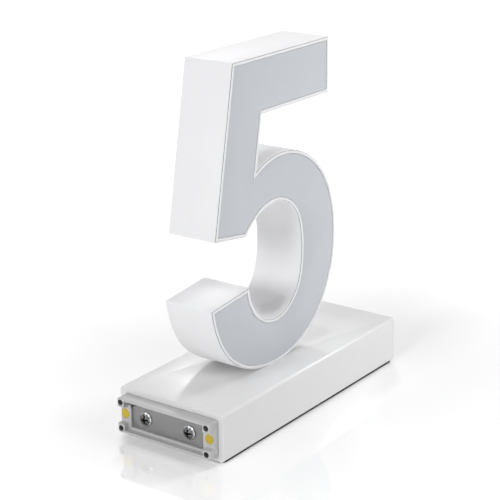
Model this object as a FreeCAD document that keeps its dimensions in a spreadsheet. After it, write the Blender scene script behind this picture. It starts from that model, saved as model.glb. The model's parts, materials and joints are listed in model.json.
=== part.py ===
import FreeCAD, Part
import math
import os
import Sketcher
from FreeCAD import Rotation, Vector

# An illuminated house number: a deep figure 5 on a base bar. The bar's left end is
# a plug and its right end a socket, so that bars can be joined in a row.
# +X is to the reader's right, the figure's front looks towards -Y, and +Z is up.
# The origin is on the standing surface, under the middle of the bar.

os.makedirs("parts", exist_ok=True)
doc = FreeCAD.newDocument("house_number")

# Sizes in millimetres
SIZES = [
    # base housing
    ("base_length", 168.0),
    ("base_depth", 68.5),
    ("base_top", 27.5),
    ("base_wall", 3.4),
    ("base_corner", 2.0),
    ("bore_corner", 1.2),
    ("ledge_width", 1.5),
    ("ledge_thickness", 2.0),
    ("fit_gap", 0.1),
    ("overrun", 1.0),
    # mat under the base
    ("mat_proud", 0.7),
    ("mat_thickness", 1.5),
    ("mat_margin", 4.0),
    ("mat_corner", 4.0),
    # hatch in the underside
    ("hatch_end_inset", 24.0),
    ("hatch_side_inset", 11.25),
    ("hatch_shift", 5.0),
    ("hatch_rim", 5.0),
    ("hatch_corner", 2.0),
    ("hatch_thickness", 1.2),
    ("hatch_gasket_thickness", 0.4),
    ("hatch_frame_height", 2.0),
    ("hatch_boss_radius", 3.2),
    ("hatch_boss_height", 5.0),
    ("hatch_screw_radius", 1.2),
    ("hatch_screw_length", 6.0),
    ("hatch_head_radius", 2.2),
    # plug, left end
    ("plug_reach", 7.3),
    ("pad_reach", 4.0),
    ("plate_reach", 3.0),
    ("plate_thickness", 1.5),
    ("web_thickness", 3.0),
    ("plug_spigot", 10.0),
    ("boss_width", 4.6),
    ("boss_height", 5.0),
    ("boss_bore_radius", 1.55),
    ("boss_bore_depth", 7.0),
    ("lip_thickness", 1.4),
    ("plug_edge", 0.8),
    ("window_side", 6.65),
    ("window_edge", 2.9),
    ("notch_width", 3.1),
    ("notch_height", 2.9),
    ("cavity_edge", 2.0),
    ("gasket_thickness", 0.8),
    # contacts
    ("contact_margin", 2.75),
    ("pad_radius", 2.65),
    ("pad_thickness", 0.8),
    ("stem_radius", 1.2),
    ("tail_radius", 0.75),
    ("tail_length", 4.5),
    # end screws and tie rods
    ("end_screw_margin", 9.6),
    ("end_screw_radius", 1.95),
    ("end_screw_length", 12.0),
    ("pan_head_radius", 4.0),
    ("pan_head_height", 2.4),
    ("pan_head_crown", 1.5),
    ("cross_reach", 4.6),
    ("cross_width", 1.0),
    ("cross_depth", 1.5),
    ("screw_gap", 0.1),
    ("tie_rod_radius", 3.0),
    # socket, right end
    ("socket_depth", 7.5),
    ("socket_spigot", 12.0),
    ("socket_plate_thickness", 2.0),
    ("sunk_head_radius", 3.8),
    ("pin_radius", 1.45),
    ("pin_reach", 6.5),
    ("pin_seat", 4.0),
    ("pin_tip", 0.6),
    # sprung contacts
    ("sleeve_radius", 2.1),
    ("sleeve_bore_radius", 1.65),
    ("sleeve_lip", 0.8),
    ("sleeve_back", 1.0),
    ("plunger_reach", 4.3),
    ("plunger_radius", 1.1),
    ("plunger_gap", 0.15),
    ("plunger_collar", 2.4),
    ("plunger_crown", 0.5),
    ("stop_gap", 0.05),
    ("spring_wire", 0.35),
    ("spring_gap", 0.05),
    # driver board
    ("board_end_margin", 3.0),
    ("board_side_margin", 2.0),
    ("board_thickness", 1.6),
    ("board_lift", 4.8),
    ("board_screw_inset", 5.0),
    ("board_screw_edge", 4.0),
    ("pillar_radius", 2.5),
    ("small_screw_radius", 1.2),
    ("small_screw_length", 5.0),
    ("small_head_radius", 2.2),
    ("small_head_height", 1.4),
    ("choke_radius", 5.2),
    ("choke_bore_radius", 2.4),
    ("choke_height", 5.0),
    ("choke_corner", 0.6),
    ("choke_gap", 4.0),
    ("capacitor_radius", 5.0),
    ("capacitor_height", 12.0),
    ("capacitor_corner", 0.8),
    ("capacitor_gap", 1.5),
    ("capacitor_spacing", 0.6),
    ("terminal_length", 10.0),
    ("terminal_gap", 2.5),
    ("terminal_height", 8.0),
    ("terminal_inset", 4.0),
    ("figure_terminal_length", 6.0),
    ("figure_terminal_depth", 9.0),
    ("figure_terminal_shift", 6.0),
    # leads
    ("lead_radius", 0.8),
    ("lead_gap", 2.7),
    ("lead_straight", 6.5),
    ("lead_slant", 3.0),
    ("figure_lead_radius", 0.6),
    ("figure_lead_pitch", 1.5),
    ("figure_lead_rise", 1.9),
    # figure outline and place
    ("figure_width", 116.2),
    ("figure_height", 173.4),
    ("figure_depth", 30.4),
    ("figure_shift", 8.7),
    ("figure_set_back", 0.4),
    ("figure_sink", 0.95),
    # figure shell, cover and face
    ("wall_thickness", 2.6),
    ("back_thickness", 2.5),
    ("lip_width", 0.5),
    ("lip_setback", 0.4),
    ("cover_seat_depth", 2.6),
    ("seal_thickness", 0.4),
    ("rim_width", 1.35),
    ("pocket_depth", 0.9),
    ("face_gap", 0.3),
    ("face_thickness", 0.6),
    # figure foot
    ("foot_length", 16.0),
    ("foot_thickness", 2.5),
    ("block_length", 14.0),
    ("block_depth", 24.0),
    ("block_height", 4.5),
    ("figure_screw_pitch", 16.0),
    ("figure_screw_length", 10.0),
    ("figure_gasket_thickness", 0.5),
    ("figure_gasket_inset", 1.0),
    ("lead_hole_radius", 2.9),
    ("grommet_bore_radius", 1.6),
    ("grommet_flange_radius", 3.5),
    ("grommet_flange_height", 1.0),
    # light board
    ("light_board_gap", 0.5),
    ("light_board_lift", 2.9),
    ("light_pillar_radius", 2.0),
    ("chip_pitch", 7.4),
    ("chip_length", 3.5),
    ("chip_width", 2.8),
    ("chip_thickness", 0.8),
    ("chip_clearance", 5.5),
    ("connector_width", 6.0),
    ("connector_depth", 10.0),
    ("connector_height", 4.0),
    ("connector_rise", 10.5),
]
sheet = doc.addObject("Spreadsheet::Sheet", "Sizes")
for row, (alias, number) in enumerate(SIZES, start=1):
    sheet.set(f"A{row}", alias)
    sheet.set(f"B{row}", str(number))
    sheet.setAlias(f"B{row}", alias)
doc.recompute()


def size(alias):
    return float(sheet.get(alias))


# Places along the bar and across it, as expressions on the sheet
LEFT_END = "(-Sizes.base_length / 2)"
RIGHT_END = "(Sizes.base_length / 2)"
UNDERSIDE = "Sizes.mat_proud"
HOUSING_HEIGHT = "(Sizes.base_top - Sizes.mat_proud)"
MIDDLE = "((Sizes.base_top + Sizes.mat_proud) / 2)"
BORE_FLOOR = "(Sizes.mat_proud + Sizes.base_wall)"
BORE_ROOF = "(Sizes.base_top - Sizes.base_wall)"
BORE_DEPTH = "(Sizes.base_depth - 2 * Sizes.base_wall)"
BORE_HEIGHT = f"({HOUSING_HEIGHT} - 2 * Sizes.base_wall)"
COLLAR_DEPTH = f"({BORE_DEPTH} - 2 * Sizes.fit_gap)"
COLLAR_HEIGHT = f"({BORE_HEIGHT} - 2 * Sizes.fit_gap)"
BOSS_PITCH_ACROSS = f"({COLLAR_DEPTH} - Sizes.boss_width)"
BOSS_PITCH_UP = f"({COLLAR_HEIGHT} - Sizes.boss_height)"
WINDOW_WIDTH = f"({COLLAR_DEPTH} - 2 * Sizes.window_side)"
WINDOW_HEIGHT = f"({COLLAR_HEIGHT} - 2 * Sizes.window_edge)"
CAVITY_HEIGHT = f"({COLLAR_HEIGHT} - 2 * Sizes.cavity_edge)"
NOTCH_PITCH = f"({COLLAR_DEPTH} - 2 * Sizes.boss_width - Sizes.notch_width)"
NOTCH_MIDDLE = f"({MIDDLE} + {COLLAR_HEIGHT} / 2 - Sizes.lip_thickness - Sizes.notch_height / 2)"
CONTACT_PITCH = f"({COLLAR_DEPTH} - 2 * Sizes.contact_margin)"
END_SCREW_PITCH = f"({WINDOW_WIDTH} - 2 * Sizes.end_screw_margin)"

PLUG_FRONT = f"({LEFT_END} - Sizes.plug_reach)"
PAD_PLANE = f"({LEFT_END} - Sizes.pad_reach)"
PLATE_FRONT = f"({LEFT_END} - Sizes.plate_reach)"
PLATE_BACK = f"({PLATE_FRONT} + Sizes.plate_thickness)"
PLUG_WEB_BACK = f"({PLATE_BACK} + Sizes.web_thickness)"
PLUG_TAIL = f"({LEFT_END} + Sizes.plug_spigot)"
PLUG_LEDGE = f"({PLUG_TAIL} + Sizes.gasket_thickness)"
PAD_TAIL_END = f"({PLUG_TAIL} + Sizes.tail_length)"

SOCKET_FLOOR = f"({RIGHT_END} - Sizes.socket_depth)"
SOCKET_PLATE_BACK = f"({SOCKET_FLOOR} - Sizes.socket_plate_thickness)"
SOCKET_WEB_BACK = f"({SOCKET_PLATE_BACK} - Sizes.web_thickness)"
SOCKET_TAIL = f"({SOCKET_FLOOR} - Sizes.socket_spigot)"
SOCKET_LEDGE = f"({SOCKET_TAIL} - Sizes.gasket_thickness)"
SLEEVE_TAIL_END = f"({SOCKET_TAIL} - Sizes.tail_length)"

HATCH_CENTRE = "(-Sizes.hatch_shift)"
HATCH_BOTTOM = "Sizes.mat_thickness"
HATCH_TOP = f"({HATCH_BOTTOM} + Sizes.hatch_thickness)"
HATCH_SEAT = f"({HATCH_TOP} + Sizes.hatch_gasket_thickness)"
HATCH_FRAME_TOP = f"({BORE_FLOOR} + Sizes.hatch_frame_height)"
HATCH_LENGTH = "(Sizes.base_length - 2 * Sizes.hatch_end_inset)"
HATCH_DEPTH = "(Sizes.base_depth - 2 * Sizes.hatch_side_inset)"
HATCH_RIM_LENGTH = f"({HATCH_LENGTH} + 2 * Sizes.hatch_rim)"
HATCH_RIM_DEPTH = f"({HATCH_DEPTH} + 2 * Sizes.hatch_rim)"
HATCH_SCREW_LONG = f"({HATCH_LENGTH} + Sizes.hatch_rim)"
HATCH_SCREW_SHORT = f"({HATCH_DEPTH} + Sizes.hatch_rim)"

BOARD_BOTTOM = f"({HATCH_TOP} + Sizes.board_lift)"
BOARD_TOP = f"({BOARD_BOTTOM} + Sizes.board_thickness)"
BOARD_LENGTH = f"({HATCH_LENGTH} - 2 * Sizes.board_end_margin)"
BOARD_DEPTH = f"({HATCH_DEPTH} - 2 * Sizes.board_side_margin)"
BOARD_SCREW_LONG = f"({BOARD_LENGTH} - 2 * Sizes.board_screw_inset)"
BOARD_SCREW_SHORT = f"({BOARD_DEPTH} - 2 * Sizes.board_screw_edge)"
TERMINAL_DEPTH = f"({END_SCREW_PITCH} - 2 * Sizes.tie_rod_radius - 2 * Sizes.terminal_gap)"
TERMINAL_REACH = f"({BOARD_LENGTH} / 2 - Sizes.terminal_inset)"
TERMINAL_INNER = f"({TERMINAL_REACH} - Sizes.terminal_length)"
CHOKE_REACH = f"({TERMINAL_INNER} - Sizes.choke_gap - Sizes.choke_radius)"
CAPACITOR_REACH = f"({TERMINAL_INNER} - Sizes.capacitor_gap - Sizes.capacitor_radius)"
CAPACITOR_PITCH = "(2 * Sizes.capacitor_radius + Sizes.capacitor_spacing)"

FIGURE_LEFT = "(-Sizes.figure_shift - Sizes.figure_width / 2)"
FIGURE_BOTTOM = "(Sizes.base_top - Sizes.figure_sink)"
FIGURE_FRONT = "(Sizes.figure_set_back - Sizes.figure_depth / 2)"
FIGURE_BACK = f"({FIGURE_FRONT} + Sizes.figure_depth)"
FIGURE_MIDDLE = "Sizes.figure_set_back"
BODY_FRONT = f"({FIGURE_FRONT} + Sizes.lip_setback)"
COVER_SEAT = f"({BODY_FRONT} + Sizes.cover_seat_depth)"
COVER_BACK = f"({COVER_SEAT} - Sizes.seal_thickness)"
POCKET_FLOOR = f"({FIGURE_FRONT} + Sizes.pocket_depth)"
FACE_FRONT = f"({POCKET_FLOOR} - Sizes.face_thickness)"
BACK_WALL = f"({FIGURE_BACK} - Sizes.back_thickness)"
LIGHT_BOARD_BACK = f"({BACK_WALL} - Sizes.light_board_lift)"
LIGHT_BOARD_FRONT = f"({LIGHT_BOARD_BACK} - Sizes.board_thickness)"
FOOT_SHARE = (0.491, 0.0)
FOOT_CENTRE = f"({FIGURE_LEFT} + {FOOT_SHARE[0]} * Sizes.figure_width)"
FOOT_TOP = "(Sizes.base_top + Sizes.foot_thickness)"
BLOCK_TOP = f"({FOOT_TOP} + Sizes.block_height)"
BEFORE_BODY = f"({FIGURE_FRONT} - Sizes.overrun)"
LEAD_HOLE = "(Sizes.lead_hole_radius + Sizes.fit_gap / 2)"
SCREW_HOLE = "(Sizes.end_screw_radius + Sizes.screw_gap)"
SCREW_FRONT = f"({FIGURE_MIDDLE} - Sizes.figure_screw_pitch / 2)"
SCREW_REAR = f"({FIGURE_MIDDLE} + Sizes.figure_screw_pitch / 2)"
LIGHT_SCREW_SHARES = [
    (0.84, 0.911),
    (0.30, 0.911),
    (0.205, 0.62),
    (0.853, 0.351),
    (0.17, 0.225),
]
LIGHT_SCREW_PLACES = [
    (
        f"({FIGURE_LEFT} + {across} * Sizes.figure_width)",
        f"({FIGURE_BOTTOM} + {up} * Sizes.figure_height)",
    )
    for across, up in LIGHT_SCREW_SHARES
]


# Document helpers
def bind(thing, **expressions):
    """Tie properties to expressions; a double underscore in a name stands for a dot."""
    for name, expression in expressions.items():
        thing.setExpression(name.replace("__", "."), expression)
    return thing


def about(centre, width):
    """The two ends of a span of a width about a centre."""
    return f"({centre} - {width} / 2)", f"({centre} + {width} / 2)"


def block(name, x, y, z):
    """A box between the two ends that x, y and z give."""
    box = doc.addObject("Part::Box", name)
    bind(box, Length=f"{x[1]} - {x[0]}", Width=f"{y[1]} - {y[0]}", Height=f"{z[1]} - {z[0]}")
    bind(box, Placement__Base__x=x[0], Placement__Base__y=y[0], Placement__Base__z=z[0])
    return box


AXIS_TURN = {
    "x": Rotation(Vector(0, 1, 0), 90),
    "y": Rotation(Vector(1, 0, 0), -90),
    "z": Rotation(),
}


def put(thing, axis, start, centre):
    """Turn a thing from +Z to an axis, and bind its place to expressions."""
    thing.Placement.Rotation = AXIS_TURN[axis]
    places = {
        "x": (start, centre[0], centre[1]),
        "y": (centre[0], start, centre[1]),
        "z": (centre[0], centre[1], start),
    }[axis]
    bind(thing, Placement__Base__x=places[0], Placement__Base__y=places[1])
    return bind(thing, Placement__Base__z=places[2])


def turned(name, axis, centre, sections):
    """A turned piece: cylinders, or cones where a section gives two radii, in a row."""
    pieces = []
    for number, (start, end, *radii) in enumerate(sections):
        kind = "Part::Cylinder" if len(radii) == 1 else "Part::Cone"
        own_name = name if len(sections) == 1 else f"{name}_section{number}"
        piece = doc.addObject(kind, own_name)
        bind(piece, Height=f"{end} - {start}")
        if len(radii) == 1:
            bind(piece, Radius=radii[0])
        else:
            bind(piece, Radius1=radii[0], Radius2=radii[1])
        pieces.append(put(piece, axis, start, centre))
    return pieces[0] if len(pieces) == 1 else fuse(name, *pieces)


def fuse(name, *parts):
    joined = doc.addObject("Part::MultiFuse", name)
    joined.Shapes = list(parts)
    joined.Refine = True
    return joined


def cut(name, base, *tools):
    tool = tools[0] if len(tools) == 1 else doc.addObject("Part::Compound", f"{name}_tools")
    if len(tools) > 1:
        tool.Links = list(tools)
    result = doc.addObject("Part::Cut", name)
    result.Base = base
    result.Tool = tool
    return result


def common(name, base, tool):
    result = doc.addObject("Part::Common", name)
    result.Base = base
    result.Tool = tool
    return result


def mirrored(name, source, normal):
    twin = doc.addObject("Part::Mirroring", name)
    twin.Source = source
    twin.Normal = normal
    return twin


def group(name, *parts):
    together = doc.addObject("Part::Compound", name)
    together.Links = list(parts)
    return together


ACROSS = Vector(0, 1, 0)
ALONG = Vector(1, 0, 0)
UPWARD = Vector(0, 0, 1)
CLOSE = 1e-6

nodes = []


def node(piece, label=None):
    """Register a finished sub-part under its own name."""
    piece.Label = label or piece.Name
    nodes.append(piece)
    return piece


# Sketches: centred shapes, placed by the sketch's attachment offset
def sketch_on(body, name, role, place):
    """A sketch on an origin plane of its body, moved right, up and out by three expressions."""
    sketch = body.newObject("Sketcher::SketchObject", name)
    plane = next(feature for feature in body.Origin.OriginFeatures if feature.Role == role)
    sketch.AttachmentSupport = [(plane, "")]
    sketch.MapMode = "FlatFace"
    right, up, out = place
    return bind(
        sketch,
        AttachmentOffset__Base__x=right,
        AttachmentOffset__Base__y=up,
        AttachmentOffset__Base__z=out,
    )


def constrain(sketch, expression, *arguments):
    sketch.setExpression(f"Constraints[{sketch.addConstraint(Sketcher.Constraint(*arguments))}]", expression)


ORIGIN_POINT = (-1, 1)


def draw_rectangle(sketch, width, height):
    """A rectangle about the sketch's origin."""
    corners = [Vector(-1, -1, 0), Vector(1, -1, 0), Vector(1, 1, 0), Vector(-1, 1, 0)]
    sides = [Part.LineSegment(corners[i], corners[(i + 1) % 4]) for i in range(4)]
    first = sketch.addGeometry(sides)[0]
    for i in range(4):
        sketch.addConstraint(Sketcher.Constraint("Coincident", first + i, 2, first + (i + 1) % 4, 1))
        sketch.addConstraint(Sketcher.Constraint(("Horizontal", "Vertical")[i % 2], first + i))
    sketch.addConstraint(Sketcher.Constraint("Symmetric", first, 1, first + 2, 1, *ORIGIN_POINT))
    constrain(sketch, width, "DistanceX", first, 1, first, 2, 2.0)
    constrain(sketch, height, "DistanceY", first + 1, 1, first + 1, 2, 2.0)


def draw_circles(sketch, radius, across=None, up=None):
    """One circle at the origin, two in a line across, or four at the corners of a rectangle."""
    signs = [(0, 0)]
    if across:
        signs = [(1, 0), (-1, 0)]
    if across and up:
        signs = [(1, 1), (-1, 1), (-1, -1), (1, -1)]
    circles = [Part.Circle(Vector(a, b, 0), Vector(0, 0, 1), 1) for a, b in signs]
    first = sketch.addGeometry(circles)[0]
    constrain(sketch, radius, "Radius", first, 1.0)
    for other in range(first + 1, first + len(signs)):
        sketch.addConstraint(Sketcher.Constraint("Equal", first, other))
    if len(signs) == 1:
        sketch.addConstraint(Sketcher.Constraint("Coincident", first, 3, *ORIGIN_POINT))
    elif len(signs) == 2:
        sketch.addConstraint(Sketcher.Constraint("Symmetric", first, 3, first + 1, 3, *ORIGIN_POINT))
        sketch.addConstraint(Sketcher.Constraint("PointOnObject", first, 3, -1))
        constrain(sketch, across, "DistanceX", first + 1, 3, first, 3, 2.0)
    else:
        sketch.addConstraint(Sketcher.Constraint("Symmetric", first, 3, first + 2, 3, *ORIGIN_POINT))
        sketch.addConstraint(Sketcher.Constraint("Symmetric", first + 1, 3, first + 3, 3, *ORIGIN_POINT))
        sketch.addConstraint(Sketcher.Constraint("Horizontal", first, 3, first + 1, 3))
        sketch.addConstraint(Sketcher.Constraint("Vertical", first, 3, first + 3, 3))
        constrain(sketch, across, "DistanceX", first + 1, 3, first, 3, 2.0)
        constrain(sketch, up, "DistanceY", first + 3, 3, first, 3, 2.0)


def pad(body, sketch, length):
    """Material from the sketch's plane along its normal."""
    feature = body.newObject("PartDesign::Pad", f"{sketch.Name}_pad")
    feature.Profile = sketch
    return bind(feature, Length=length)


def pocket(body, sketch, length):
    """A cut from the sketch's plane against its normal."""
    feature = body.newObject("PartDesign::Pocket", f"{sketch.Name}_pocket")
    feature.Profile = sketch
    return bind(feature, Length=length)


def dress(kind, body, name, wanted, **sizes):
    """A fillet or a chamfer on every edge of the body's tip that the test wants."""
    doc.recompute()
    base = body.Tip
    picked = [f"Edge{i}" for i, edge in enumerate(base.Shape.Edges, start=1) if wanted(edge)]
    feature = body.newObject(f"PartDesign::{kind}", name)
    feature.Base = (base, picked)
    return bind(feature, **sizes)


def rounded(body, name, radius, wanted):
    return dress("Fillet", body, name, wanted, Radius=radius)


def is_rim(edge, radius, axis, place):
    """True for a circle of a radius at a place along an axis."""
    if not isinstance(edge.Curve, Part.Circle) or abs(edge.Curve.Radius - radius) > CLOSE:
        return False
    return abs(getattr(edge.Curve.Center, axis) - place) < CLOSE


def runs_along(edge, axis):
    """True for a straight edge parallel to an axis, given by its letter."""
    return isinstance(edge.Curve, Part.Line) and abs(abs(getattr(edge.Curve.Direction, axis)) - 1) < CLOSE


def rounded_slab(name, plane, width, height, place, thickness, corner, hole=None):
    """A flat piece with rounded corners, with a rectangular hole where one is given."""
    role, axis = plane
    body = doc.addObject("PartDesign::Body", name)
    sketch = sketch_on(body, f"{name}_outline", role, place)
    draw_rectangle(sketch, width, height)
    pad(body, sketch, thickness)
    rounded(body, f"{name}_corners", corner, lambda edge: runs_along(edge, axis))
    if hole:
        opening = sketch_on(body, f"{name}_opening", role, (place[0], place[1], f"{place[2]} + {thickness}"))
        draw_rectangle(opening, *hole)
        pocket(body, opening, f"{thickness} + Sizes.overrun")
    return body


FLAT = ("XY_Plane", "z")
UPRIGHT = ("YZ_Plane", "x")


def pierce(body, name, plane, place, depth, radius, across=None, up=None):
    """Round holes that run from a sketch plane against its normal."""
    sketch = sketch_on(body, f"{body.Name}_{name}", plane[0], place)
    draw_circles(sketch, radius, across, up)
    return pocket(body, sketch, depth)


def recess(body, name, plane, place, depth, width, height):
    """A rectangular cut that runs from a sketch plane against its normal."""
    sketch = sketch_on(body, f"{body.Name}_{name}", plane[0], place)
    draw_rectangle(sketch, width, height)
    return pocket(body, sketch, depth)


# Base housing: a rounded tube with a ledge inside each end and a framed hatch below
def make_base_housing():
    body = doc.addObject("PartDesign::Body", "base_housing")
    bore_half = size("base_depth") / 2 - size("base_wall")

    profile = sketch_on(body, "base_profile", "YZ_Plane", ("0", MIDDLE, LEFT_END))
    draw_rectangle(profile, "Sizes.base_depth", HOUSING_HEIGHT)
    draw_rectangle(profile, BORE_DEPTH, BORE_HEIGHT)
    pad(body, profile, "Sizes.base_length")
    rounded(
        body, "base_outer_edges", "Sizes.base_corner",
        lambda edge: runs_along(edge, "x") and abs(edge.CenterOfMass.y) > bore_half + size("fit_gap"),
    )
    rounded(
        body, "base_bore_edges", "Sizes.bore_corner",
        lambda edge: runs_along(edge, "x") and abs(abs(edge.CenterOfMass.y) - bore_half) < size("fit_gap"),
    )
    for end, start in (("plug", PLUG_LEDGE), ("socket", f"{SOCKET_LEDGE} - Sizes.ledge_thickness")):
        ledge = sketch_on(body, f"base_{end}_ledge", "YZ_Plane", ("0", MIDDLE, start))
        draw_rectangle(ledge, f"{BORE_DEPTH} + Sizes.base_wall", f"{BORE_HEIGHT} + Sizes.base_wall")
        draw_rectangle(ledge, f"{BORE_DEPTH} - 2 * Sizes.ledge_width", f"{BORE_HEIGHT} - 2 * Sizes.ledge_width")
        pad(body, ledge, "Sizes.ledge_thickness")
    frame = sketch_on(body, "base_hatch_frame", "XY_Plane", (HATCH_CENTRE, "0", HATCH_SEAT))
    draw_rectangle(frame, HATCH_RIM_LENGTH, HATCH_RIM_DEPTH)
    pad(body, frame, f"{HATCH_FRAME_TOP} - {HATCH_SEAT}")
    bosses = sketch_on(body, "base_hatch_bosses", "XY_Plane", (HATCH_CENTRE, "0", HATCH_SEAT))
    draw_circles(bosses, "Sizes.hatch_boss_radius", HATCH_SCREW_LONG, HATCH_SCREW_SHORT)
    pad(body, bosses, f"{BORE_FLOOR} + Sizes.hatch_boss_height - {HATCH_SEAT}")

    recess(
        body, "mat_recess", FLAT, ("0", "0", "Sizes.mat_thickness"), "Sizes.mat_thickness",
        "Sizes.base_length - 2 * Sizes.mat_margin + 2 * Sizes.fit_gap",
        "Sizes.base_depth - 2 * Sizes.mat_margin + 2 * Sizes.fit_gap",
    )
    recess(
        body, "hatch_rebate", FLAT, (HATCH_CENTRE, "0", HATCH_SEAT), HATCH_SEAT,
        f"{HATCH_RIM_LENGTH} + 2 * Sizes.fit_gap", f"{HATCH_RIM_DEPTH} + 2 * Sizes.fit_gap",
    )
    recess(
        body, "hatch_way", FLAT, (HATCH_CENTRE, "0", HATCH_FRAME_TOP), HATCH_FRAME_TOP,
        HATCH_LENGTH, HATCH_DEPTH,
    )
    pierce(
        body, "hatch_screw_holes", FLAT, (HATCH_CENTRE, "0", f"{HATCH_BOTTOM} + Sizes.hatch_screw_length"),
        "Sizes.hatch_screw_length", "Sizes.hatch_screw_radius + Sizes.fit_gap / 2",
        HATCH_SCREW_LONG, HATCH_SCREW_SHORT,
    )
    top = (FOOT_CENTRE, FIGURE_MIDDLE, "Sizes.base_top")
    through = "Sizes.base_wall + Sizes.overrun"
    pierce(body, "lead_hole", FLAT, top, through, "Sizes.lead_hole_radius + Sizes.fit_gap / 2")
    for side, shift in (("front", "-"), ("rear", "+")):
        place = (FOOT_CENTRE, f"{FIGURE_MIDDLE} {shift} Sizes.figure_screw_pitch / 2", "Sizes.base_top")
        pierce(body, f"{side}_screw_hole", FLAT, place, through, "Sizes.end_screw_radius + Sizes.screw_gap")
    return node(body)


# Mat and hatch under the base
def make_underside():
    node(rounded_slab(
        "underside_mat", FLAT,
        "Sizes.base_length - 2 * Sizes.mat_margin", "Sizes.base_depth - 2 * Sizes.mat_margin",
        ("0", "0", "0"), "Sizes.mat_thickness", "Sizes.mat_corner",
    ))
    cover = rounded_slab(
        "hatch_cover", FLAT, HATCH_RIM_LENGTH, HATCH_RIM_DEPTH,
        (HATCH_CENTRE, "0", HATCH_BOTTOM), "Sizes.hatch_thickness", "Sizes.hatch_corner",
    )
    pillars = sketch_on(cover, "hatch_pillars", "XY_Plane", (HATCH_CENTRE, "0", HATCH_TOP))
    draw_circles(pillars, "Sizes.pillar_radius", BOARD_SCREW_LONG, BOARD_SCREW_SHORT)
    pad(cover, pillars, "Sizes.board_lift")
    pierce(
        cover, "pillar_bores", FLAT, (HATCH_CENTRE, "0", BOARD_BOTTOM),
        "Sizes.small_screw_length - Sizes.board_thickness + Sizes.screw_gap",
        "Sizes.small_screw_radius + Sizes.fit_gap / 2", BOARD_SCREW_LONG, BOARD_SCREW_SHORT,
    )
    pierce(
        cover, "screw_holes", FLAT, (HATCH_CENTRE, "0", f"{HATCH_TOP} + Sizes.overrun"),
        "Sizes.hatch_thickness + 2 * Sizes.overrun", "Sizes.hatch_screw_radius + Sizes.screw_gap",
        HATCH_SCREW_LONG, HATCH_SCREW_SHORT,
    )
    hole_radius = size("hatch_screw_radius") + size("screw_gap")
    dress(
        "Chamfer", cover, "hatch_sinks", lambda edge: is_rim(edge, hole_radius, "z", size("mat_thickness")),
        Size="Sizes.hatch_head_radius - Sizes.hatch_screw_radius",
    )
    node(cover)
    gasket = rounded_slab(
        "hatch_gasket", FLAT, HATCH_RIM_LENGTH, HATCH_RIM_DEPTH,
        (HATCH_CENTRE, "0", HATCH_TOP), "Sizes.hatch_gasket_thickness", "Sizes.hatch_corner",
        (HATCH_LENGTH, HATCH_DEPTH),
    )
    pierce(
        gasket, "screw_holes", FLAT, (HATCH_CENTRE, "0", f"{HATCH_SEAT} + Sizes.overrun"),
        "Sizes.hatch_gasket_thickness + 2 * Sizes.overrun", "Sizes.hatch_screw_radius + Sizes.screw_gap",
        HATCH_SCREW_LONG, HATCH_SCREW_SHORT,
    )
    node(gasket)
    corner = turned(
        "hatch_screw", "z",
        (f"{HATCH_CENTRE} + {HATCH_SCREW_LONG} / 2", f"{HATCH_SCREW_SHORT} / 2"),
        [
            (HATCH_BOTTOM, f"({HATCH_BOTTOM} + Sizes.hatch_screw_length)", "Sizes.hatch_screw_radius"),
            (
                HATCH_BOTTOM, f"({HATCH_BOTTOM} + Sizes.hatch_head_radius - Sizes.hatch_screw_radius)",
                "Sizes.hatch_head_radius", "Sizes.hatch_screw_radius",
            ),
        ],
    )
    rear = group("hatch_screws_right", corner, mirrored("hatch_screw_twin", corner, ACROSS))
    left = mirrored("hatch_screws_left", rear, ALONG)
    bind(left, Base__x=HATCH_CENTRE)
    node(group("hatch_screws", rear, left))


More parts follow.
